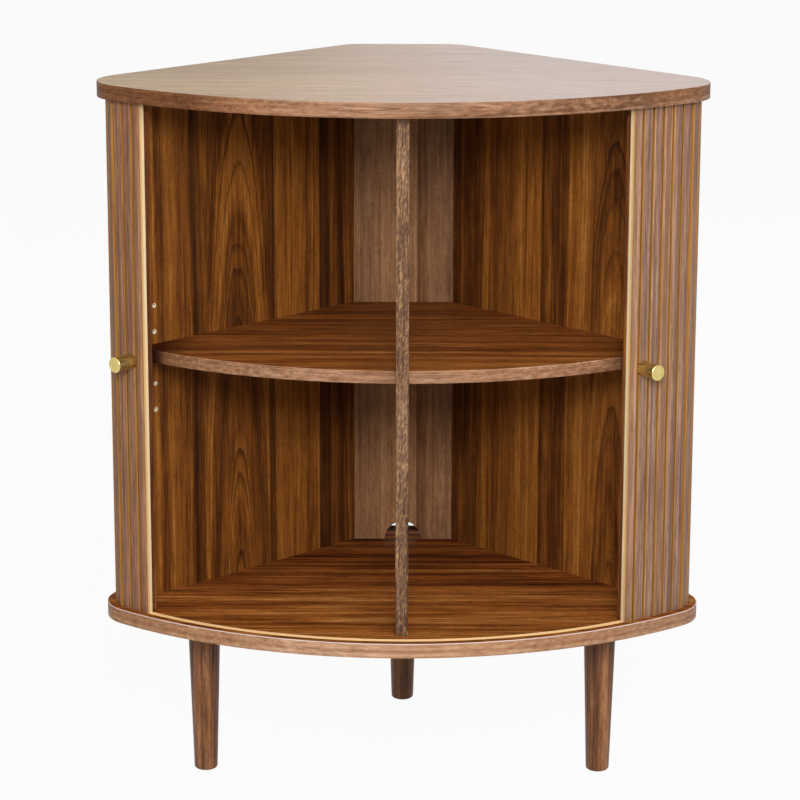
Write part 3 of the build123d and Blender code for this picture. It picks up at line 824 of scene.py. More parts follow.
class Finishes:
    """All finishes of the cabinet, made once."""

    def __init__(self) -> None:
        """Make every material."""
        self.boards()
        self.walls = self.wall_faces()
        self.uprights()
        self.bands = self.edge_bands()
        self.slats = self.slat_faces()
        # The slat sides' raw wood is a deeper ochre than the same wood on the leading edge: partly its own colour,
        # partly painted shade of the gaps between the slats.
        self.slat_sides = RawWood("slat_side_wood", (186, 130, 46), (128, 80, 22)).material()
        self.lead_edge = LeadingEdge("leading_edge_wood").material()
        self.cloth = Canvas("door_canvas", (128, 98, 62), (78, 56, 32)).material()
        self.brass = Fitting(
            "knob_brass", (224, 204, 132), (200, 178, 104), (900, 900, 2600), (90, 90, 90), dull_limits=(0.4, 0.75),
        ).material()
        self.steel = Fitting(
            "plated_steel", (196, 196, 192), (150, 148, 142), (260, 260, 260), (260, 260, 260), detail=4,
            roughness_spread=0.25, depth=0.00004, strength=0.4,
        ).material()
        self.beech = RawWood("dowel_beech", (214, 180, 134), (188, 150, 104)).material()
        self.plastic = Fitting(
            "glide_plastic", (92, 90, 86), (66, 64, 61), (2200, 2200, 2200), (2200, 2200, 2200), roughness=0.6,
            roughness_spread=0.0, depth=0.00005, strength=0.6, metallic=0.0,
        ).material()

    def boards(self) -> None:
        """Make the finishes of the top, the floor board and the shelf."""
        # Partly the top's own tone, partly painted light: the colour shifts from left to right to follow the light
        # and its hazy reflection on the top.
        shades = AcrossShades((
            (0.1, (252, 246, 202)), (0.36, (245, 232, 188)), (0.5, (230, 205, 164)), (0.62, (225, 206, 183)),
            (0.76, (220, 205, 193)), (0.9, (216, 200, 188)),
        ))
        self.top = BoardVeneer(
            "top_walnut", tones((146, 123, 114), (167, 143, 133), (181, 158, 149), (196, 174, 165)),
            leaves=strips(
                (-1.0, -0.13, 0.08, 0.7), (-0.03, 0.4, -0.18, 0.8), (0.06, 0.5, -0.16, 0.8), (0.15, 0.6, -0.2, 0.7),
            ),
            heart_depth=0.03, rise=0.05, start=-0.3, band_contrast=0.2, line_density=120, line_depth=0.9,
            line_colour=(112, 80, 58), fibre=0.36, fineness=0.7, mottle=0.1, pores=0.35, warmth=0.15,
            warm=(206, 168, 132), roughness=0.5, seed=3.1,
        ).material(shades, BareBand(0.8812, 0.8932))
        base = BoardVeneer(
            "base_walnut", tones((66, 30, 10), (120, 63, 24), (154, 88, 36), (180, 114, 54), (202, 142, 80)),
            leaves=strips(
                (-1.0, 0.3, 0.08, 0.8), (-0.13, 0.4, 0.08, 0.9), (-0.02, -0.5, -0.12, 0.8), (0.08, 0.5, -0.18, 0.9),
            ),
            rise=0.0, wander=0.012, band_scale=34, band_contrast=0.5, line_density=130, line_depth=1.2, fibre=0.45,
            fineness=0.45, mottle=0.3, roughness=0.8, gloss=0.03, seed=8.4,
        )
        # Painted shadow on the floor board behind the back panel, seen through its notch, where the panel shades it.
        behind_notch = ((TO_THE_REAR, 0.222, 0.232), (ACROSS_FRONT, -0.03, -0.025), (ACROSS_FRONT, 0.03, 0.025))
        self.base = base.material(BareBand(0.2195, 0.2258), Stain(behind_notch, (110, 88, 78)))
        self.shelf = replace(
            base, name="shelf_walnut", roughness=0.55, gloss=0.12, seed=5.7,
            leaves=strips((-1.0, 0.35, 0.02, 0.7), (-0.10, 0.5, -0.06, 0.9), (0.02, -0.5, -0.12, 0.8)),
        # Painted shadow of the left door across the shelf's left end.
        ).material(Stain(((ACROSS_FRONT, -0.265, -0.304),), (120, 92, 78)))

    @staticmethod
    def wall_faces() -> dict[Side, Material]:
        """Make the finishes of the walls, whose leaves stand upright.

        Returns:
            The finish of each wall.
        """
        wall = Veneer(
            "wall_walnut", tones((48, 22, 7), (90, 48, 16), (130, 76, 27), (160, 100, 39), (184, 124, 58)),
            rise=0.08, start=0.2, heart_depth=0.012, wander=0.005, band_scale=60, band_contrast=0.5,
            line_density=360, line_depth=0.85, fibre=0.26, roughness=0.55, gloss=0.12,
        )
        left = wall_strips(
            (0.0, 0.30, -0.16, 0.8), (0.097, 0.5, -0.38, 0.9), (0.112, 0.45, 0.12, 0.3), (0.169, 0.5, -0.3, 0.9),
            (0.177, 0.214, -0.02, 1.0), (0.256, 0.6, -0.16, 1.1), (0.280, 0.7, 0.06, 0.35),
        )
        right = wall_strips(
            (0.0, 0.5, -0.22, 0.9), (0.100, 0.6, 0.0, 0.7), (0.145, 0.55, 0.2, 0.3), (0.180, 0.5, -0.14, 0.9),
            (0.213, 0.6, 0.2, 0.25), (0.243, 0.270, 0.06, 1.0),
        )
        faces = {}
        for side, leaves, seed in ((Side.LEFT, left, 1.9), (Side.RIGHT, right, 4.6)):
            across = Vector((side.value * DIAGONAL, -DIAGONAL, 0))
            veneer = replace(wall, name=f"{side.word}_wall_walnut", across=across, leaves=leaves, seed=seed)
            faces[side] = veneer.material(BareHoles(side))
        return faces

    def uprights(self) -> None:
        """Make the finishes of the back panel, the post, the legs and the battens."""
        # Painted shade on the back panel's cut edges, the notch's among them, where little light reaches.
        notch_edge = ((TO_THE_REAR, 0.1914, 0.1918), (TO_THE_REAR, 0.2066, 0.2062))
        self.back = Veneer(
            "back_walnut", tones((78, 52, 34), (138, 99, 69), (166, 124, 88), (190, 149, 110)),
            # The dark leaf from 0.018 to 0.032, just right of the post, is a painted shadow of the post on the panel.
            leaves=strips(
                (-1.0, 0.3, -0.04, 0.35), (-0.030, 0.4, 0.12, 0.3), (0.018, 0.3, -0.26, 0.6), (0.032, 0.3, -0.1, 0.4),
            ),
            rise=0.02, band_contrast=0.16, fibre=0.2, mottle=0.5, line_density=160, line_colour=(64, 38, 22),
            roughness=0.65, gloss=0.1, seed=7.7,
        ).material(Stain(notch_edge, (60, 44, 36)))
        self.post = Veneer(
            "post_walnut", tones((70, 45, 31), (121, 87, 61), (151, 114, 82), (183, 144, 107)),
            leaves=strips((-1.0, 0.03, 0.0, 0.7)), wander=0.004, line_colour=(58, 36, 32), fibre=0.5, flecks=0.55,
            warmth=0.1, warm=(206, 158, 100), roughness=0.55, gloss=0.2, seed=1.2,
        ).material()
        self.legs = Veneer(
            "leg_walnut", tones((70, 38, 18), (116, 73, 42), (144, 94, 57), (170, 118, 78)),
            leaves=strips((-1.0, 0.6, 0.0, 0.7)), rise=0.01, wander=0.006, band_scale=90, line_colour=(56, 30, 14),
            fibre=0.5, seed=2.9,
        ).material()
        self.batten = Veneer(
            "batten_walnut", tones((88, 44, 18), (146, 84, 42), (184, 120, 66)),
            leaves=strips((-1.0, 0.6, 0.0, 0.6)), rise=0.0, band_scale=90, seed=3.3,
        ).material()

    @staticmethod
    def edge_bands() -> dict[str, Material]:
        """Make the finishes of the bands round the boards and along the shelf.

        Returns:
            The finish of each band, by what it goes round.
        """
        light = tones((100, 64, 42), (147, 106, 79), (180, 139, 110), (206, 168, 138))
        pale = tones((126, 88, 62), (172, 129, 98), (199, 157, 125), (222, 186, 154))
        band = BandVeneer("band_walnut", light, rise=0.0, wander=0.003, band_scale=160, roughness=0.5, gloss=0.2)
        top = replace(
            band, name="top_band_walnut", leaves=strips((-1.0, 0.893, 0.05, 0.8)), heart_depth=0.004, rise=0.015,
            band_scale=240, band_contrast=0.55, line_density=480, line_depth=1.1, line_colour=(84, 50, 30), fibre=0.4,
            mottle=0.15, pores=0.2, warm=(200, 140, 92), warmth=0.35, seed=2.2,
        )
        base = replace(
            band, name="base_band_walnut", stops=pale, leaves=strips((-1.0, 0.5, 0.05, 0.3)), band_contrast=0.5,
            fibre=0.3, mottle=0.5, pores=0.2, line_colour=(120, 80, 52), seed=6.1,
        )
        shelf = replace(
            band, name="shelf_band_walnut", leaves=strips((-1.0, 0.9, 0.0, 0.4)), band_contrast=0.6, mottle=0.3,
            pores=0.25, line_colour=(100, 64, 38), seed=9.3,
        )
        # Partly the top band's own tone, partly painted light: lightest at the front, darker towards both ends.
        top_band_light_and_tone = RoundShades((
            (0.25, (186, 164, 136)), (0.30, (182, 158, 128)), (0.35, (166, 142, 112)), (0.39, (232, 226, 220)),
            (0.44, (250, 252, 255)), (0.5, (230, 228, 224)), (0.559, (230, 224, 216)), (0.62, (210, 198, 184)),
            (0.67, (204, 194, 186)), (0.69, (224, 216, 210)),
        ))
        # Partly the base band's own tone, partly painted light: palest at the front, a little darker towards both
        # ends.
        base_band_light_and_tone = RoundShades((
            (0.3, (232, 218, 204)), (0.36, (236, 226, 212)), (0.43, (255, 255, 255)), (0.56, (255, 252, 246)),
            (0.61, (240, 234, 226)), (0.7, (236, 230, 226)),
        ))
        # Painted shadows of the doors at both ends of the shelf band, and painted light at its front, over the band's
        # own tone.
        shelf_band_shadow_and_tone = RoundShades((
            (0.3, (72, 44, 34)), (0.304, (214, 202, 184)), (0.335, (232, 222, 206)), (0.42, (255, 255, 255)),
            (0.62, (252, 252, 248)), (0.66, (240, 232, 224)), (0.71, (170, 142, 116)),
        ))
        return {
            "top": top.material(top_band_light_and_tone),
            # The pale line from 0.2250 to 0.22585 is a painted highlight on the base band's eased top edge.
            "base": base.material(base_band_light_and_tone, BareBand(0.2250, 0.22585, (222, 204, 200))),
            "shelf": shelf.material(shelf_band_shadow_and_tone),
        }

    @staticmethod
    def slat_faces() -> dict[Side, Material]:
        """Make the slats' faces: rosy on the right door, a browner walnut on the left one, its slat tones painted a
        little darker as shade.

        Returns:
            The finish of each door's slats.
        """
        brown = tones((98, 62, 42), (136, 93, 65), (160, 113, 82), (184, 136, 102))
        rosy = tones((100, 72, 60), (140, 106, 88), (168, 131, 108), (192, 154, 128))
        faces = {}
        for side, stops, kinds in (
            # The left door's slat tones are painted a little darker: painted shade on that door.
            (Side.LEFT, brown, tones((148, 102, 70), (136, 96, 72), (108, 76, 62))),
            (Side.RIGHT, rosy, tones((182, 131, 88), (156, 118, 95), (120, 89, 76))),
        ):
            faces[side] = SlatVeneer(
                f"{side.word}_slat_walnut", stops, leaves=strips((-1.0, 2.5, 0.0, 0.25)), rise=0.0, wander=0.003,
                band_scale=110, line_colour=(84, 54, 44), fibre=0.55, pores=0.3, warm=(198, 148, 110), roughness=0.5,
                gloss=0.2, seed=0.6, kinds=kinds,
            ).material()
        return faces


@dataclass(frozen=True)
class Plan:
    """The cabinet's plan and heights, in metres."""

    width: float = 0.760
    front_radius: float = 0.552
    corner_radius: float = 0.061
    rear_flat: float = 0.144
    rear_radius: float = 0.035
    board: float = 0.019
    inner_height: float = 0.655
    leg_height: float = 0.207
    slat_inset: float = 0.0105
    slat_thickness: float = 0.008

    @property
    def corner_x(self) -> float:
        """X of the right corner's centre."""
        return self.width / 2 - self.corner_radius

    @property
    def corner_from_arc(self) -> float:
        """How far ahead of the front arc's centre the corner centres are."""
        return math.sqrt((self.front_radius - self.corner_radius) ** 2 - self.corner_x ** 2)

    @property
    def arc_end(self) -> float:
        """Half of the front arc's angle."""
        return math.atan2(self.corner_x, self.corner_from_arc)

    @property
    def depth(self) -> float:
        """Front to back."""
        front = self.front_radius - self.corner_from_arc
        return self.corner_x + front + self.corner_radius * math.sqrt(2) - self.rear_flat / 2

    @property
    def arc_centre(self) -> Vector:
        """Centre of the front arc, on which both doors turn."""
        return Vector((0, self.front_radius - self.depth / 2, 0))

    @property
    def corner(self) -> Vector:
        """Centre of the right corner."""
        return Vector((self.corner_x, self.arc_centre.y - self.corner_from_arc, 0))

    @property
    def rear_corner(self) -> Vector:
        """Centre of the right rear corner."""
        y = self.depth / 2 - self.rear_radius
        return Vector((self.depth / 2 + self.rear_flat / 2 - self.rear_radius * math.sqrt(2) - y, y, 0))

    @property
    def base_top(self) -> float:
        """Height of the floor inside."""
        return self.leg_height + self.board

    @property
    def top_underside(self) -> float:
        """Height of the ceiling inside."""
        return self.base_top + self.inner_height

    @property
    def path_radius(self) -> float:
        """Radius of the slats' cloth side on the front arc."""
        return self.front_radius - self.slat_inset - self.slat_thickness

    @property
    def corner_path_radius(self) -> float:
        """Radius of the slats' cloth side in the corner."""
        return self.corner_radius - self.slat_inset - self.slat_thickness

    @property
    def corner_turn(self) -> float:
        """Angle that the path turns through in a corner."""
        return 3 * math.pi / 4 - self.arc_end


def new_object(name: str, data: ID) -> Object:
    """Add an object to the scene.

    Args:
        name: The object's name.
        data: Its mesh, light or camera.

    Returns:
        The object.
    """
    made = bpy.data.objects.new(name, data)
    bpy.context.scene.collection.objects.link(made)
    return made


def new_piece(name: str, bm: BMesh, materials: Iterable[Material], smooth_below: float = 0.6) -> Object:
    """Turn a finished bmesh into a piece with soft shading and sharp corners.

    Args:
        name: The piece's name.
        bm: Its mesh, which is freed.
        materials: Its material slots.
        smooth_below: Angle between faces, in radians, under which they shade as one.

    Returns:
        The piece.
    """
    for face in bm.faces:
        face.smooth = True
    for edge in bm.edges:
        if len(edge.link_faces) == 2:
            edge.smooth = edge.calc_face_angle(0.0) < smooth_below
    mesh = bpy.data.meshes.new(name)
    bm.to_mesh(mesh)
    bm.free()
    for material in materials:
        mesh.materials.append(material)
    LOG.info("piece %s: %d faces", name, len(mesh.polygons))
    return new_object(name, mesh)


def place_piece(piece: Object, body: str, slot: str, *nodes: str) -> None:
    """Let a piece ride on a body and stand for its nodes.

    Args:
        piece: The piece.
        body: The body.
        slot: Not used.
        *nodes: The nodes' names.
    """
    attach(piece, body)
    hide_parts(*nodes)


def dress(material: Material, *nodes: str) -> None:
    """Give carried-over nodes their material.

    Args:
        material: The material.
        *nodes: The nodes' names.
    """
    for node in nodes:
        obj = frame["nodes"][node]
        if not obj.material_slots:
            obj.data.materials.append(material)
        for slot in obj.material_slots:
            slot.material = material


def bevel(bm: BMesh, edges: Sequence[BMEdge], offset: float) -> None:
    """Ease edges of a mesh."""
    shape = {"offset_type": "OFFSET", "segments": 2, "profile": 0.5, "affect": "EDGES", "material": -1}
    bmesh.ops.bevel(bm, geom=edges, offset=offset, **shape)


def quarter_round(radius: float, height: float, ease: float, start: float) -> list[tuple[float, float]]:
    """A quarter round in a profile.

    Args:
        radius: Its centre's radius.
        height: Its centre's height.
        ease: Its own radius.
        start: Its first point's angle, in degrees.

    Returns:
        Pairs of radius and height.
    """
    steps = 5
    angles = [math.radians(start + 90 * step / steps) for step in range(steps + 1)]
    return [(radius + ease * math.cos(angle), height + ease * math.sin(angle)) for angle in angles]


def lathe(profile: Sequence[tuple[float, float]], steps: int) -> BMesh:
    """Spin a profile about Z into a closed solid.

    Args:
        profile: Pairs of radius and height, from one pole to the other.
        steps: Faces round the solid.

    Returns:
        The solid.
    """
    bm = bmesh.new()
    verts = [bm.verts.new((radius, 0, height)) for radius, height in profile]
    edges = [bm.edges.new(pair) for pair in zip(verts, verts[1:])]
    bmesh.ops.spin(
        bm, geom=verts + edges, cent=(0, 0, 0), axis=UP, angle=2 * math.pi, steps=steps, use_merge=True,
    )
    bmesh.ops.remove_doubles(bm, verts=bm.verts, dist=TINY)
    bmesh.ops.recalc_face_normals(bm, faces=bm.faces)
    return bm


@dataclass(frozen=True)
class EdgeBand:
    """The thin veneer band round a board, with eased arrises."""

    plan: Plan
    name: str
    bottom: float
    thickness: float = 0.001
    arris: float = 0.0006
    arc_steps: int = 60
    corner_steps: int = 24
    rear_steps: int = 10

    def loop(self, bm: BMesh, inset: float) -> list[BMEdge]:
        """Draw the board's outline, drawn in by an inset, as a closed loop of edges.

        Args:
            bm: The mesh to draw in.
            inset: How far in from the board's edge.

        Returns:
            The loop's edges.
        """
        first = len(bm.edges)
        start = bm.verts.new(self.plan.arc_centre - Vector((0, self.plan.front_radius - inset, 0)))
        bm.edges.new([self.half(bm, start, side, inset) for side in Side])
        bm.edges.ensure_lookup_table()
        return bm.edges[first:]

    def half(self, bm: BMesh, start: BMVert, side: Side, inset: float) -> BMVert:
        """Draw one half of the outline, from the middle of the front to the rear flat.

        Args:
            bm: The mesh to draw in.
            start: The point at the middle of the front.
            side: Which half.
            inset: How far in from the board's edge.

        Returns:
            The point at the end of the rear flat.
        """
        plan, sign = self.plan, side.value
        corner, rear_corner = [Vector((sign * point.x, point.y, 0)) for point in (plan.corner, plan.rear_corner)]
        tip = self.turn(bm, start, plan.arc_centre, sign * plan.arc_end, self.arc_steps)
        tip = self.turn(bm, tip, corner, sign * plan.corner_turn, self.corner_steps)
        outward = Vector((sign, 1, 0)).normalized()
        rear = bm.verts.new(rear_corner + outward * (plan.rear_radius - inset))
        bm.edges.new((tip, rear))
        return self.turn(bm, rear, rear_corner, sign * math.pi / 4, self.rear_steps)

    @staticmethod
    def turn(bm: BMesh, vert: BMVert, centre: Vector, angle: float, steps: int) -> BMVert:
        """Spin one point about a centre into a run of edges.

        Args:
            bm: The mesh.
            vert: The point.
            centre: The centre.
            angle: How far to turn, in radians.
            steps: How many edges the run has.

        Returns:
            The run's far end.
        """
        made = bmesh.ops.spin(bm, geom=[vert], cent=centre, axis=UP, angle=angle, steps=steps)
        bm.edges.ensure_lookup_table()
        return next(item for item in made["geom_last"] if isinstance(item, BMVert))

    def build(self, material: Material) -> Object:
        """Make the band's mesh.

        Args:
            material: The band's finish.

        Returns:
            The band.
        """
        bm = bmesh.new()
        loops = self.loop(bm, 0) + self.loop(bm, self.thickness)
        ring = bmesh.ops.bridge_loops(bm, edges=loops)["faces"]
        raised = bmesh.ops.extrude_face_region(bm, geom=ring)["geom"]
        top = [item for item in raised if isinstance(item, BMVert)]
        bmesh.ops.translate(bm, verts=top, vec=(0, 0, self.plan.board))
        bmesh.ops.translate(bm, verts=bm.verts, vec=(0, 0, self.bottom))
        bmesh.ops.recalc_face_normals(bm, faces=bm.faces)
        bevel(bm, self.outer_rims(bm), self.arris)
        return new_piece(self.name, bm, [material])

    @staticmethod
    def outer_rims(bm: BMesh) -> list[BMEdge]:
        """Find the level edges between the band's outer wall and its rims.

        Args:
            bm: The band's mesh.

        Returns:
            The edges.
        """
        rims = []
        for edge in bm.edges:
            walls = [face for face in edge.link_faces if abs(face.normal.z) < SIDEWAYS]
            level = abs(edge.verts[0].co.z - edge.verts[1].co.z) < TINY
            if level and len(walls) == 1:
                middle = walls[0].calc_center_median()
                if Vector((middle.x, middle.y, 0)).dot(walls[0].normal) > 0:
                    rims.append(edge)
        return rims


@dataclass(frozen=True)
class Slat:
    """One slat in its door: its place on the path and its size."""

    point: Vector
    angle: float
    width: float
    index: int


@dataclass(frozen=True)
class Knob:
    """The plain turned knob of a door."""

    radius: float = 0.00975
    length: float = 0.030
    ease: float = 0.0006
    steps: int = 64

    def build(self, name: str, origin: Vector, outward: Vector, material: Material) -> Object:
        """Make the knob's mesh.

        Args:
            name: The knob's name.
            origin: Where the middle of its foot is.
            outward: Where it points.
            material: Its finish.

        Returns:
            The knob.
        """
        radius, length, ease = self.radius, self.length, self.ease
        wall = [(radius - ease, 0), (radius, ease), (radius, length - ease), (radius - ease, length)]
        bm = lathe([(0, 0), *wall, (0, length)], self.steps)
        matrix = Matrix.Translation(origin) @ UP.rotation_difference(outward).to_matrix().to_4x4()
        bmesh.ops.transform(bm, matrix=matrix, verts=bm.verts)
        return new_piece(name, bm, [material])


@dataclass(frozen=True)
class DoorRun:
    """The slats of one door, as it stands open."""

    plan: Plan
    side: Side
    showing: float
    turning: int
    corner_end: int
    slat_width: float = 0.0132
    lead_width: float = 0.012
    gap: float = 0.0024
    arris: float = 0.0006
    count: int = 30
    bottom: float = 0.2203
    top: float = 0.887
    cloth_insets: tuple[float, float] = (0.00035, 0.00005)
    cloth_steps: int = 120
    blend_turn: float = 0.0092
    fold_play: float = 0.0001
    fold_thinner: float = 0.965
    fold_lower: float = 0.999
    fold_rounds: int = 60

    @property
    def pitch(self) -> float:
        """From one slat to the next."""
        return self.slat_width + self.gap

    @property
    def travel(self) -> float:
        """How far the door turns from open to closed, in radians."""
        joint = next(joint for joint in frame["joints"] if joint["name"] == f"{self.side.word}_door_run")
        return math.radians(max(abs(limit) for limit in joint["range_deg"]))

    def place(self, distance: float) -> tuple[Vector, float]:
        """Find a place on the right door's path.

        Args:
            distance: How far it is behind the leading edge.

        Returns:
            The point, and the angle at which its slat faces outwards.
        """
        plan, past_arc = self.plan, distance - self.showing
        corner_length = plan.corner_turn * plan.corner_path_radius
        angle = plan.arc_end - math.pi / 2
        if past_arc <= 0:
            angle += past_arc / plan.path_radius
            return plan.arc_centre + plan.path_radius * heading(angle), angle
        if past_arc <= corner_length:
            angle += past_arc / plan.corner_path_radius
            return plan.corner + plan.corner_path_radius * heading(angle), angle
        angle = math.pi / 4
        straight = (past_arc - corner_length) * heading(3 * angle)
        return plan.corner + plan.corner_path_radius * heading(angle) + straight, angle

    def slat(self, index: int) -> Slat:
        """Find a slat's place.

        Args:
            index: Its number; slat 0 carries the leading edge.

        Returns:
            The slat.
        """
        width = self.slat_width if index else self.lead_width
        point, angle = self.place(self.lead_width + index * self.pitch - width / 2)
        if self.side is Side.LEFT:
            point, angle = Vector((-point.x, point.y, 0)), math.pi - angle
        return Slat(point, angle, width, index)

    def add(self, bm: BMesh, slat: Slat) -> None:
        """Add one slat to a mesh: eased face corners, raw sides, and its place in its wood.

        Args:
            bm: The mesh, with its place layer.
            slat: The slat.
        """
        layer = bm.verts.layers.float_vector[SLAT_PLACE]
        others = {*bm.verts, *bm.faces}
        thickness = self.plan.slat_thickness
        verts = bmesh.ops.create_cube(bm, size=1.0)["verts"]
        bmesh.ops.translate(bm, verts=verts, vec=(0.5, 0, 0))
        bmesh.ops.scale(bm, verts=verts, vec=(thickness, slat.width, self.top - self.bottom))
        bmesh.ops.translate(bm, verts=verts, vec=(0, 0, (self.top + self.bottom) / 2))
        arrises = [
            edge for edge in {edge for vert in verts for edge in vert.link_edges}
            if all(vert.co.x > thickness / 2 for vert in edge.verts)
            and abs(edge.verts[0].co.y - edge.verts[1].co.y) < TINY
        ]
        bevel(bm, arrises, self.arris)
        own = [vert for vert in bm.verts if vert not in others]
        for vert in own:
            vert[layer] = (vert.co.y + slat.index * SLAT_STEP, vert.co.x, vert.co.z)
        for face in bm.faces:
            if face not in others:
                leads = slat.index == 0 and face.normal.y * self.side.value < -SIDEWAYS
                raw = SlatSlot.LEADING_EDGE if leads else SlatSlot.SIDE
                face.material_index = SlatSlot.FACE if face.normal.x > FACING else raw
        matrix = Matrix.Translation(slat.point) @ Matrix.Rotation(slat.angle, 4, "Z")
        bmesh.ops.transform(bm, matrix=matrix, verts=own)

    def run(self, slats: Iterable[Slat]) -> BMesh:
        """Make the mesh of a run of slats.

        Args:
            slats: The slats.

        Returns:
            The mesh.
        """
        bm = bmesh.new()
        bm.verts.layers.float_vector.new(SLAT_PLACE)
        for slat in slats:
            self.add(bm, slat)
        return bm

    def dress(self, finishes: Finishes) -> None:
        """Build the door's slats and dress the nodes that stay.

        Args:
            finishes: The cabinet's finishes.
        """
        word = self.side.word
        door = f"{word}_door"
        turning_nodes = ["lead_slat", "knob_slat", "front_slats"][:self.turning]
        faces = [finishes.slats[self.side], finishes.slat_sides, finishes.lead_edge]
        for name, body, first, last, nodes in (
            ("door_slats", door, 0, self.turning, turning_nodes),
            ("corner_run", "carcass", self.turning, self.corner_end, ["corner_slats"]),
            ("stored_run", "carcass", self.corner_end, self.count, ["stored_slats"]),
        ):
            piece = new_piece(f"{word}_{name}", self.run(map(self.slat, range(first, last))), faces)
            place_piece(piece, body, "slat_walnut", *[f"{word}_{node}" for node in nodes])
        self.following([*faces, finishes.cloth])
        dress(finishes.cloth, f"{word}_lead_cloth", f"{word}_stored_cloth")
        dress(finishes.batten, f"{word}_batten")
        dress(finishes.steel, f"{word}_batten_screws", f"{word}_knob_screw")
        slat = self.slat(1)
        outward = heading(slat.angle)
        middle = UP * (self.plan.base_top + self.plan.top_underside) / 2
        origin = slat.point + self.plan.slat_thickness * outward + middle
        knob = Knob().build(f"{word}_turned_knob", origin, outward, finishes.brass)
        place_piece(knob, door, "knob_brass", f"{word}_knob")

    def on_arc(self, turn: float, radius: float) -> Vector:
        """Point at a turn from straight ahead towards this side, at a radius from the arc's centre."""
        return self.plan.arc_centre + radius * Vector((self.side.value * math.sin(turn), -math.cos(turn), 0))

    def following(self, materials: Iterable[Material]) -> None:
        """Make the slats that come out of the corner behind a closing door.

        They are built where they stand when the door is closed, and then folded into the first corner slat, where
        they are while it is open. Each point is put where a smooth blend of carcass and door, turning with the door,
        would carry it back to its closed place.

        Args:
            materials: The materials of their slots.
        """
        radius = self.plan.path_radius
        inside = (self.lead_width + self.turning * self.pitch - self.slat_width) / radius
        corner = self.plan.arc_end - (self.showing / radius - inside)
        first = corner - self.travel
        length = self.travel * radius
        count = round(length / self.pitch)
        step = (length - self.gap - self.slat_width) / (count - 1) / radius
        slats = []
        for index in range(count):
            turn = first + self.slat_width / 2 / radius + index * step
            angle = math.atan2(-math.cos(turn), self.side.value * math.sin(turn))
            slats.append(Slat(self.on_arc(turn, radius), angle, self.slat_width, self.turning + index))
        bm = self.run(slats)
        self.add_cloth(bm, first, corner)
        piece = new_piece(f"{self.side.word}_following_slats", bm, materials)
        middle = radius + self.plan.slat_thickness / 2
        start, end = [self.on_arc(turn, middle) for turn in (corner + self.blend_turn, corner)]
        for vertex in piece.data.vertices:
            vertex.co = self.folded(vertex.co, start, end)
        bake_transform(piece)

    def add_cloth(self, bm: BMesh, first: float, last: float) -> None:
        """Add the strip of cloth behind the following slats to their mesh.

        Args:
            bm: The mesh.
            first: Turn from straight ahead at which the strip begins.
            last: Turn at which it ends.
        """
        others = {*bm.faces}
        near, far = [self.plan.path_radius - inset for inset in self.cloth_insets]
        corners = [(near, self.bottom), (far, self.bottom), (far, self.top), (near, self.top)]
        verts = [bm.verts.new(self.on_arc(first, radius) + UP * height) for radius, height in corners]
        edges = [bm.edges.new((vert, verts[index - 1])) for index, vert in enumerate(verts)]
        angle = self.side.value * (last - first)
        bmesh.ops.spin(
            bm, geom=verts + edges, cent=self.plan.arc_centre, axis=UP, angle=angle, steps=self.cloth_steps,
        )
        cloth = [face for face in bm.faces if face not in others]
        open_edges = {edge for face in cloth for edge in face.edges if len(edge.link_faces) == 1}
        bmesh.ops.holes_fill(bm, edges=list(open_edges))
        cloth = [face for face in bm.faces if face not in others]
        bmesh.ops.recalc_face_normals(bm, faces=cloth)
        for face in cloth:
            face.material_index = SlatSlot.CLOTH

    def folded(self, place: Vector, start: Vector, end: Vector) -> Vector:
        """Find where a point of a following slat lies while the door is open.

        Args:
            place: Its place when the door is closed.
            start: Where the blend starts to follow the door.
            end: Where it follows the door altogether.

        Returns:
            Its place when the door is open.
        """
        path_radius = self.plan.path_radius
        offset = place - self.plan.arc_centre
        closed = math.atan2(self.side.value * offset.x, -offset.y)
        radius = Vector((offset.x, offset.y, 0)).length
        if radius > path_radius:
            radius = path_radius + self.fold_play + (radius - path_radius) * self.fold_thinner
        middle = (self.top + self.bottom) / 2
        height = middle + (place.z - middle) * self.fold_lower
        way = end - start
        low, high = closed, closed + self.travel
        for _ in range(self.fold_rounds):
            turn = (low + high) / 2
            share = min(max((self.on_arc(turn, radius) - start).dot(way) / way.length_squared, 0.0), 1.0)
            if turn - share * share * (3 - 2 * share) * self.travel < closed:
                low = turn
            else:
                high = turn
        return self.on_arc((low + high) / 2, radius) + UP * height


@dataclass(frozen=True)
class Leg:
    """A turned tapered leg."""

    top_radius: float = 0.021
    foot_radius: float = 0.015
    bottom: float = 0.001
    foot_round: float = 0.004
    top_round: float = 0.001
    steps: int = 72

    def build(self, node: str, material: Material) -> Object:
        """Make the leg's mesh.

        Args:
            node: The node that it stands for.
            material: Its finish.

        Returns:
            The leg.
        """
        low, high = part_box(node)
        centre = (low + high) / 2
        foot = (self.foot_radius - self.foot_round, self.bottom + self.foot_round, self.foot_round)
        top = (self.top_radius - self.top_round, high.z - self.top_round, self.top_round)
        profile = [(0, self.bottom), *quarter_round(*foot, -90), *quarter_round(*top, 0), (0, high.z)]
        bm = lathe(profile, self.steps)
        bmesh.ops.translate(bm, verts=bm.verts, vec=(centre.x, centre.y, 0))
        return new_piece(f"turned_{node}", bm, [material])


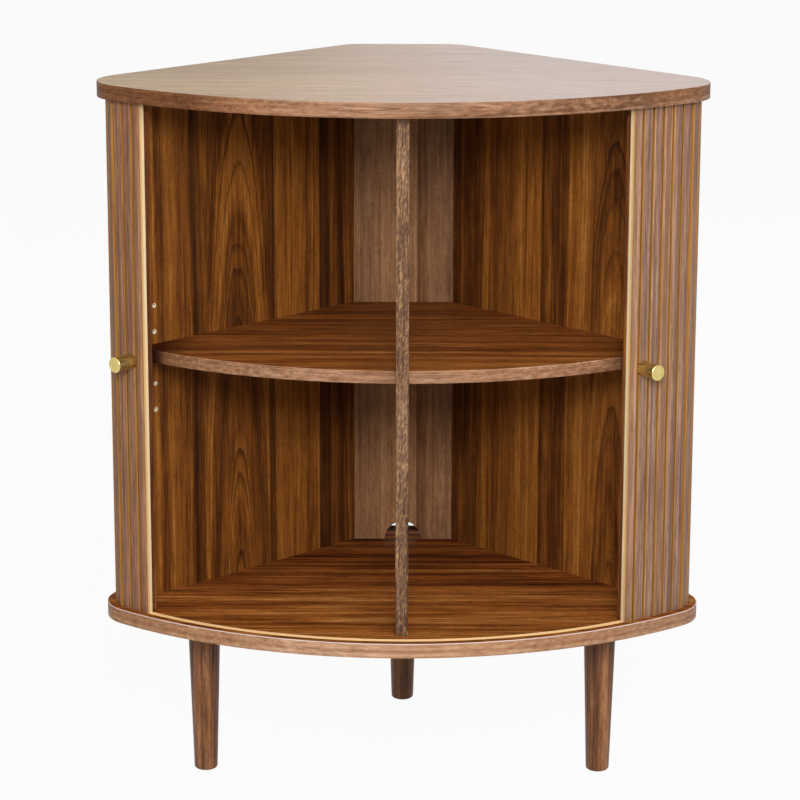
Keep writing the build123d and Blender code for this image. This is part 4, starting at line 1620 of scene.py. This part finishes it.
@dataclass(frozen=True)
class Carcass:
    """The fixed part: boards, walls, shelf, post and legs."""

    plan: Plan
    finishes: Finishes

    def dress(self) -> None:
        """Build the detailed pieces and dress the nodes that stay."""
        finishes = self.finishes
        for name, bottom in (("top", self.plan.top_underside), ("base", self.plan.leg_height)):
            band = EdgeBand(self.plan, f"{name}_band", bottom).build(finishes.bands[name])
            place_piece(band, "carcass", "edge_walnut", f"{name}_edge_band")
        for side in Side:
            dress(finishes.walls[side], f"{side.word}_wall")
        dress(finishes.top, "top_board")
        dress(finishes.base, "base_board")
        dress(finishes.shelf, "shelf")
        dress(finishes.bands["shelf"], "shelf_edge_band")
        dress(finishes.back, "back_panel")
        dress(finishes.post, "centre_post")
        dress(finishes.steel, "shelf_pins", "leg_bolts", "leg_inserts", "base_screws", "back_panel_screws")
        dress(finishes.beech, "top_dowels")
        dress(finishes.plastic, "leg_glides")
        for node in ("left_front_leg", "right_front_leg", "rear_leg"):
            place_piece(Leg().build(node, finishes.legs), "carcass", "leg_walnut", node)


@dataclass(frozen=True)
class Lamp:
    """A square soft lamp: its name, its place, its side in metres and its power in watts."""

    name: str
    place: tuple[float, float, float]
    size: float
    power: float

    def hang(self, aim: Vector) -> None:
        """Hang the lamp so that it shines at a point.

        Args:
            aim: The point.
        """
        data = bpy.data.lights.new(self.name, "AREA")
        data.size = self.size
        data.energy = self.power
        lamp = new_object(self.name, data)
        lamp.location = self.place
        lamp.rotation_euler = (aim - Vector(self.place)).to_track_quat("-Z", "Y").to_euler()


@dataclass(frozen=True)
class Studio:
    """The floor, the light and the camera."""

    camera_place: tuple[float, float, float] = (0.0100, -3.8824, 1.4662)
    pitch: float = 0.2507
    yaw: float = 0.0035
    roll: float = 0.0024
    focal_pixels: float = 3090.8
    picture_pixels: float = 800.0
    sensor: float = 36.0
    floor_size: float = 40.0
    floor_grey: float = 0.62
    floor_glow: float = 0.95
    soft_light: float = 0.22
    aim: Vector = Vector((0, 0, 0.5))
    lamps: Sequence[Lamp] = (
        Lamp("front_light", (0.1, -3.5, 2.1), 0.8, 78),
        Lamp("high_front_light", (0.5, -2.2, 3.0), 1.2, 28),
        Lamp("left_light", (-2.2, -2.8, 2.0), 1.2, 18),
        Lamp("right_light", (2.2, -2.8, 2.0), 1.2, 22),
        Lamp("rear_light", (0.6, 3.3, 1.9), 1.6, 24),
        Lamp("overhead_light", (0.2, -0.2, 3.0), 2.0, 6),
    )

    def build(self) -> None:
        """Make everything that isn't the cabinet."""
        self.floor()
        self.world()
        for lamp in self.lamps:
            lamp.hang(self.aim)
        self.camera()
        bpy.context.scene.view_settings.view_transform = "Standard"

    def floor(self) -> None:
        """A wide pale floor that keeps the cabinet's shadow."""
        graph = Graph.named("pale_floor")
        soft = graph.node("BsdfDiffuse", {"Color": (self.floor_grey, self.floor_grey, self.floor_grey, 1)})
        glow = graph.node("Emission", {"Color": WHITE})
        share = graph.times(graph.seen(), self.floor_glow)
        blend = graph.node("MixShader", {0: share, 1: soft.outputs[0], 2: glow.outputs[0]})
        graph.node("OutputMaterial", {"Surface": blend.outputs[0]})
        bm = bmesh.new()
        bmesh.ops.create_grid(bm, x_segments=1, y_segments=1, size=self.floor_size)
        new_piece("floor", bm, [graph.owner])

    def world(self) -> None:
        """White surroundings for the camera and reflections, plain soft light for the rest."""
        world = bpy.data.worlds.new("studio")
        bpy.context.scene.world = world
        graph = Graph(world)
        strength = graph.node("MapRange", {"Value": graph.seen(), "To Min": self.soft_light, "To Max": 1.0})
        sky = graph.node("Background", {"Color": WHITE, "Strength": strength.outputs[0]})
        graph.node("OutputWorld", {"Surface": sky.outputs[0]})

    def camera(self) -> None:
        """The camera at the picture's viewpoint."""
        data = bpy.data.cameras.new("camera")
        data.sensor_width = self.sensor
        data.lens = self.focal_pixels / self.picture_pixels * self.sensor
        data.clip_end = 100.0
        camera = new_object("camera", data)
        aim = Matrix.Rotation(self.yaw, 4, "Z") @ Matrix.Rotation(math.pi / 2 - self.pitch, 4, "X")
        camera.matrix_world = Matrix.Translation(self.camera_place) @ aim @ Matrix.Rotation(self.roll, 4, "Z")
        bpy.context.scene.camera = camera


def main() -> None:
    """Build the cabinet and its studio."""
    logging.basicConfig(level=logging.INFO, format="%(name)s: %(message)s")
    plan = Plan()
    finishes = Finishes()
    Carcass(plan, finishes).dress()
    DoorRun(plan, Side.LEFT, showing=0.0365, turning=2, corner_end=7).dress(finishes)
    DoorRun(plan, Side.RIGHT, showing=0.0862, turning=5, corner_end=10).dress(finishes)
    Studio().build()


if __name__ == "__main__":
    main()
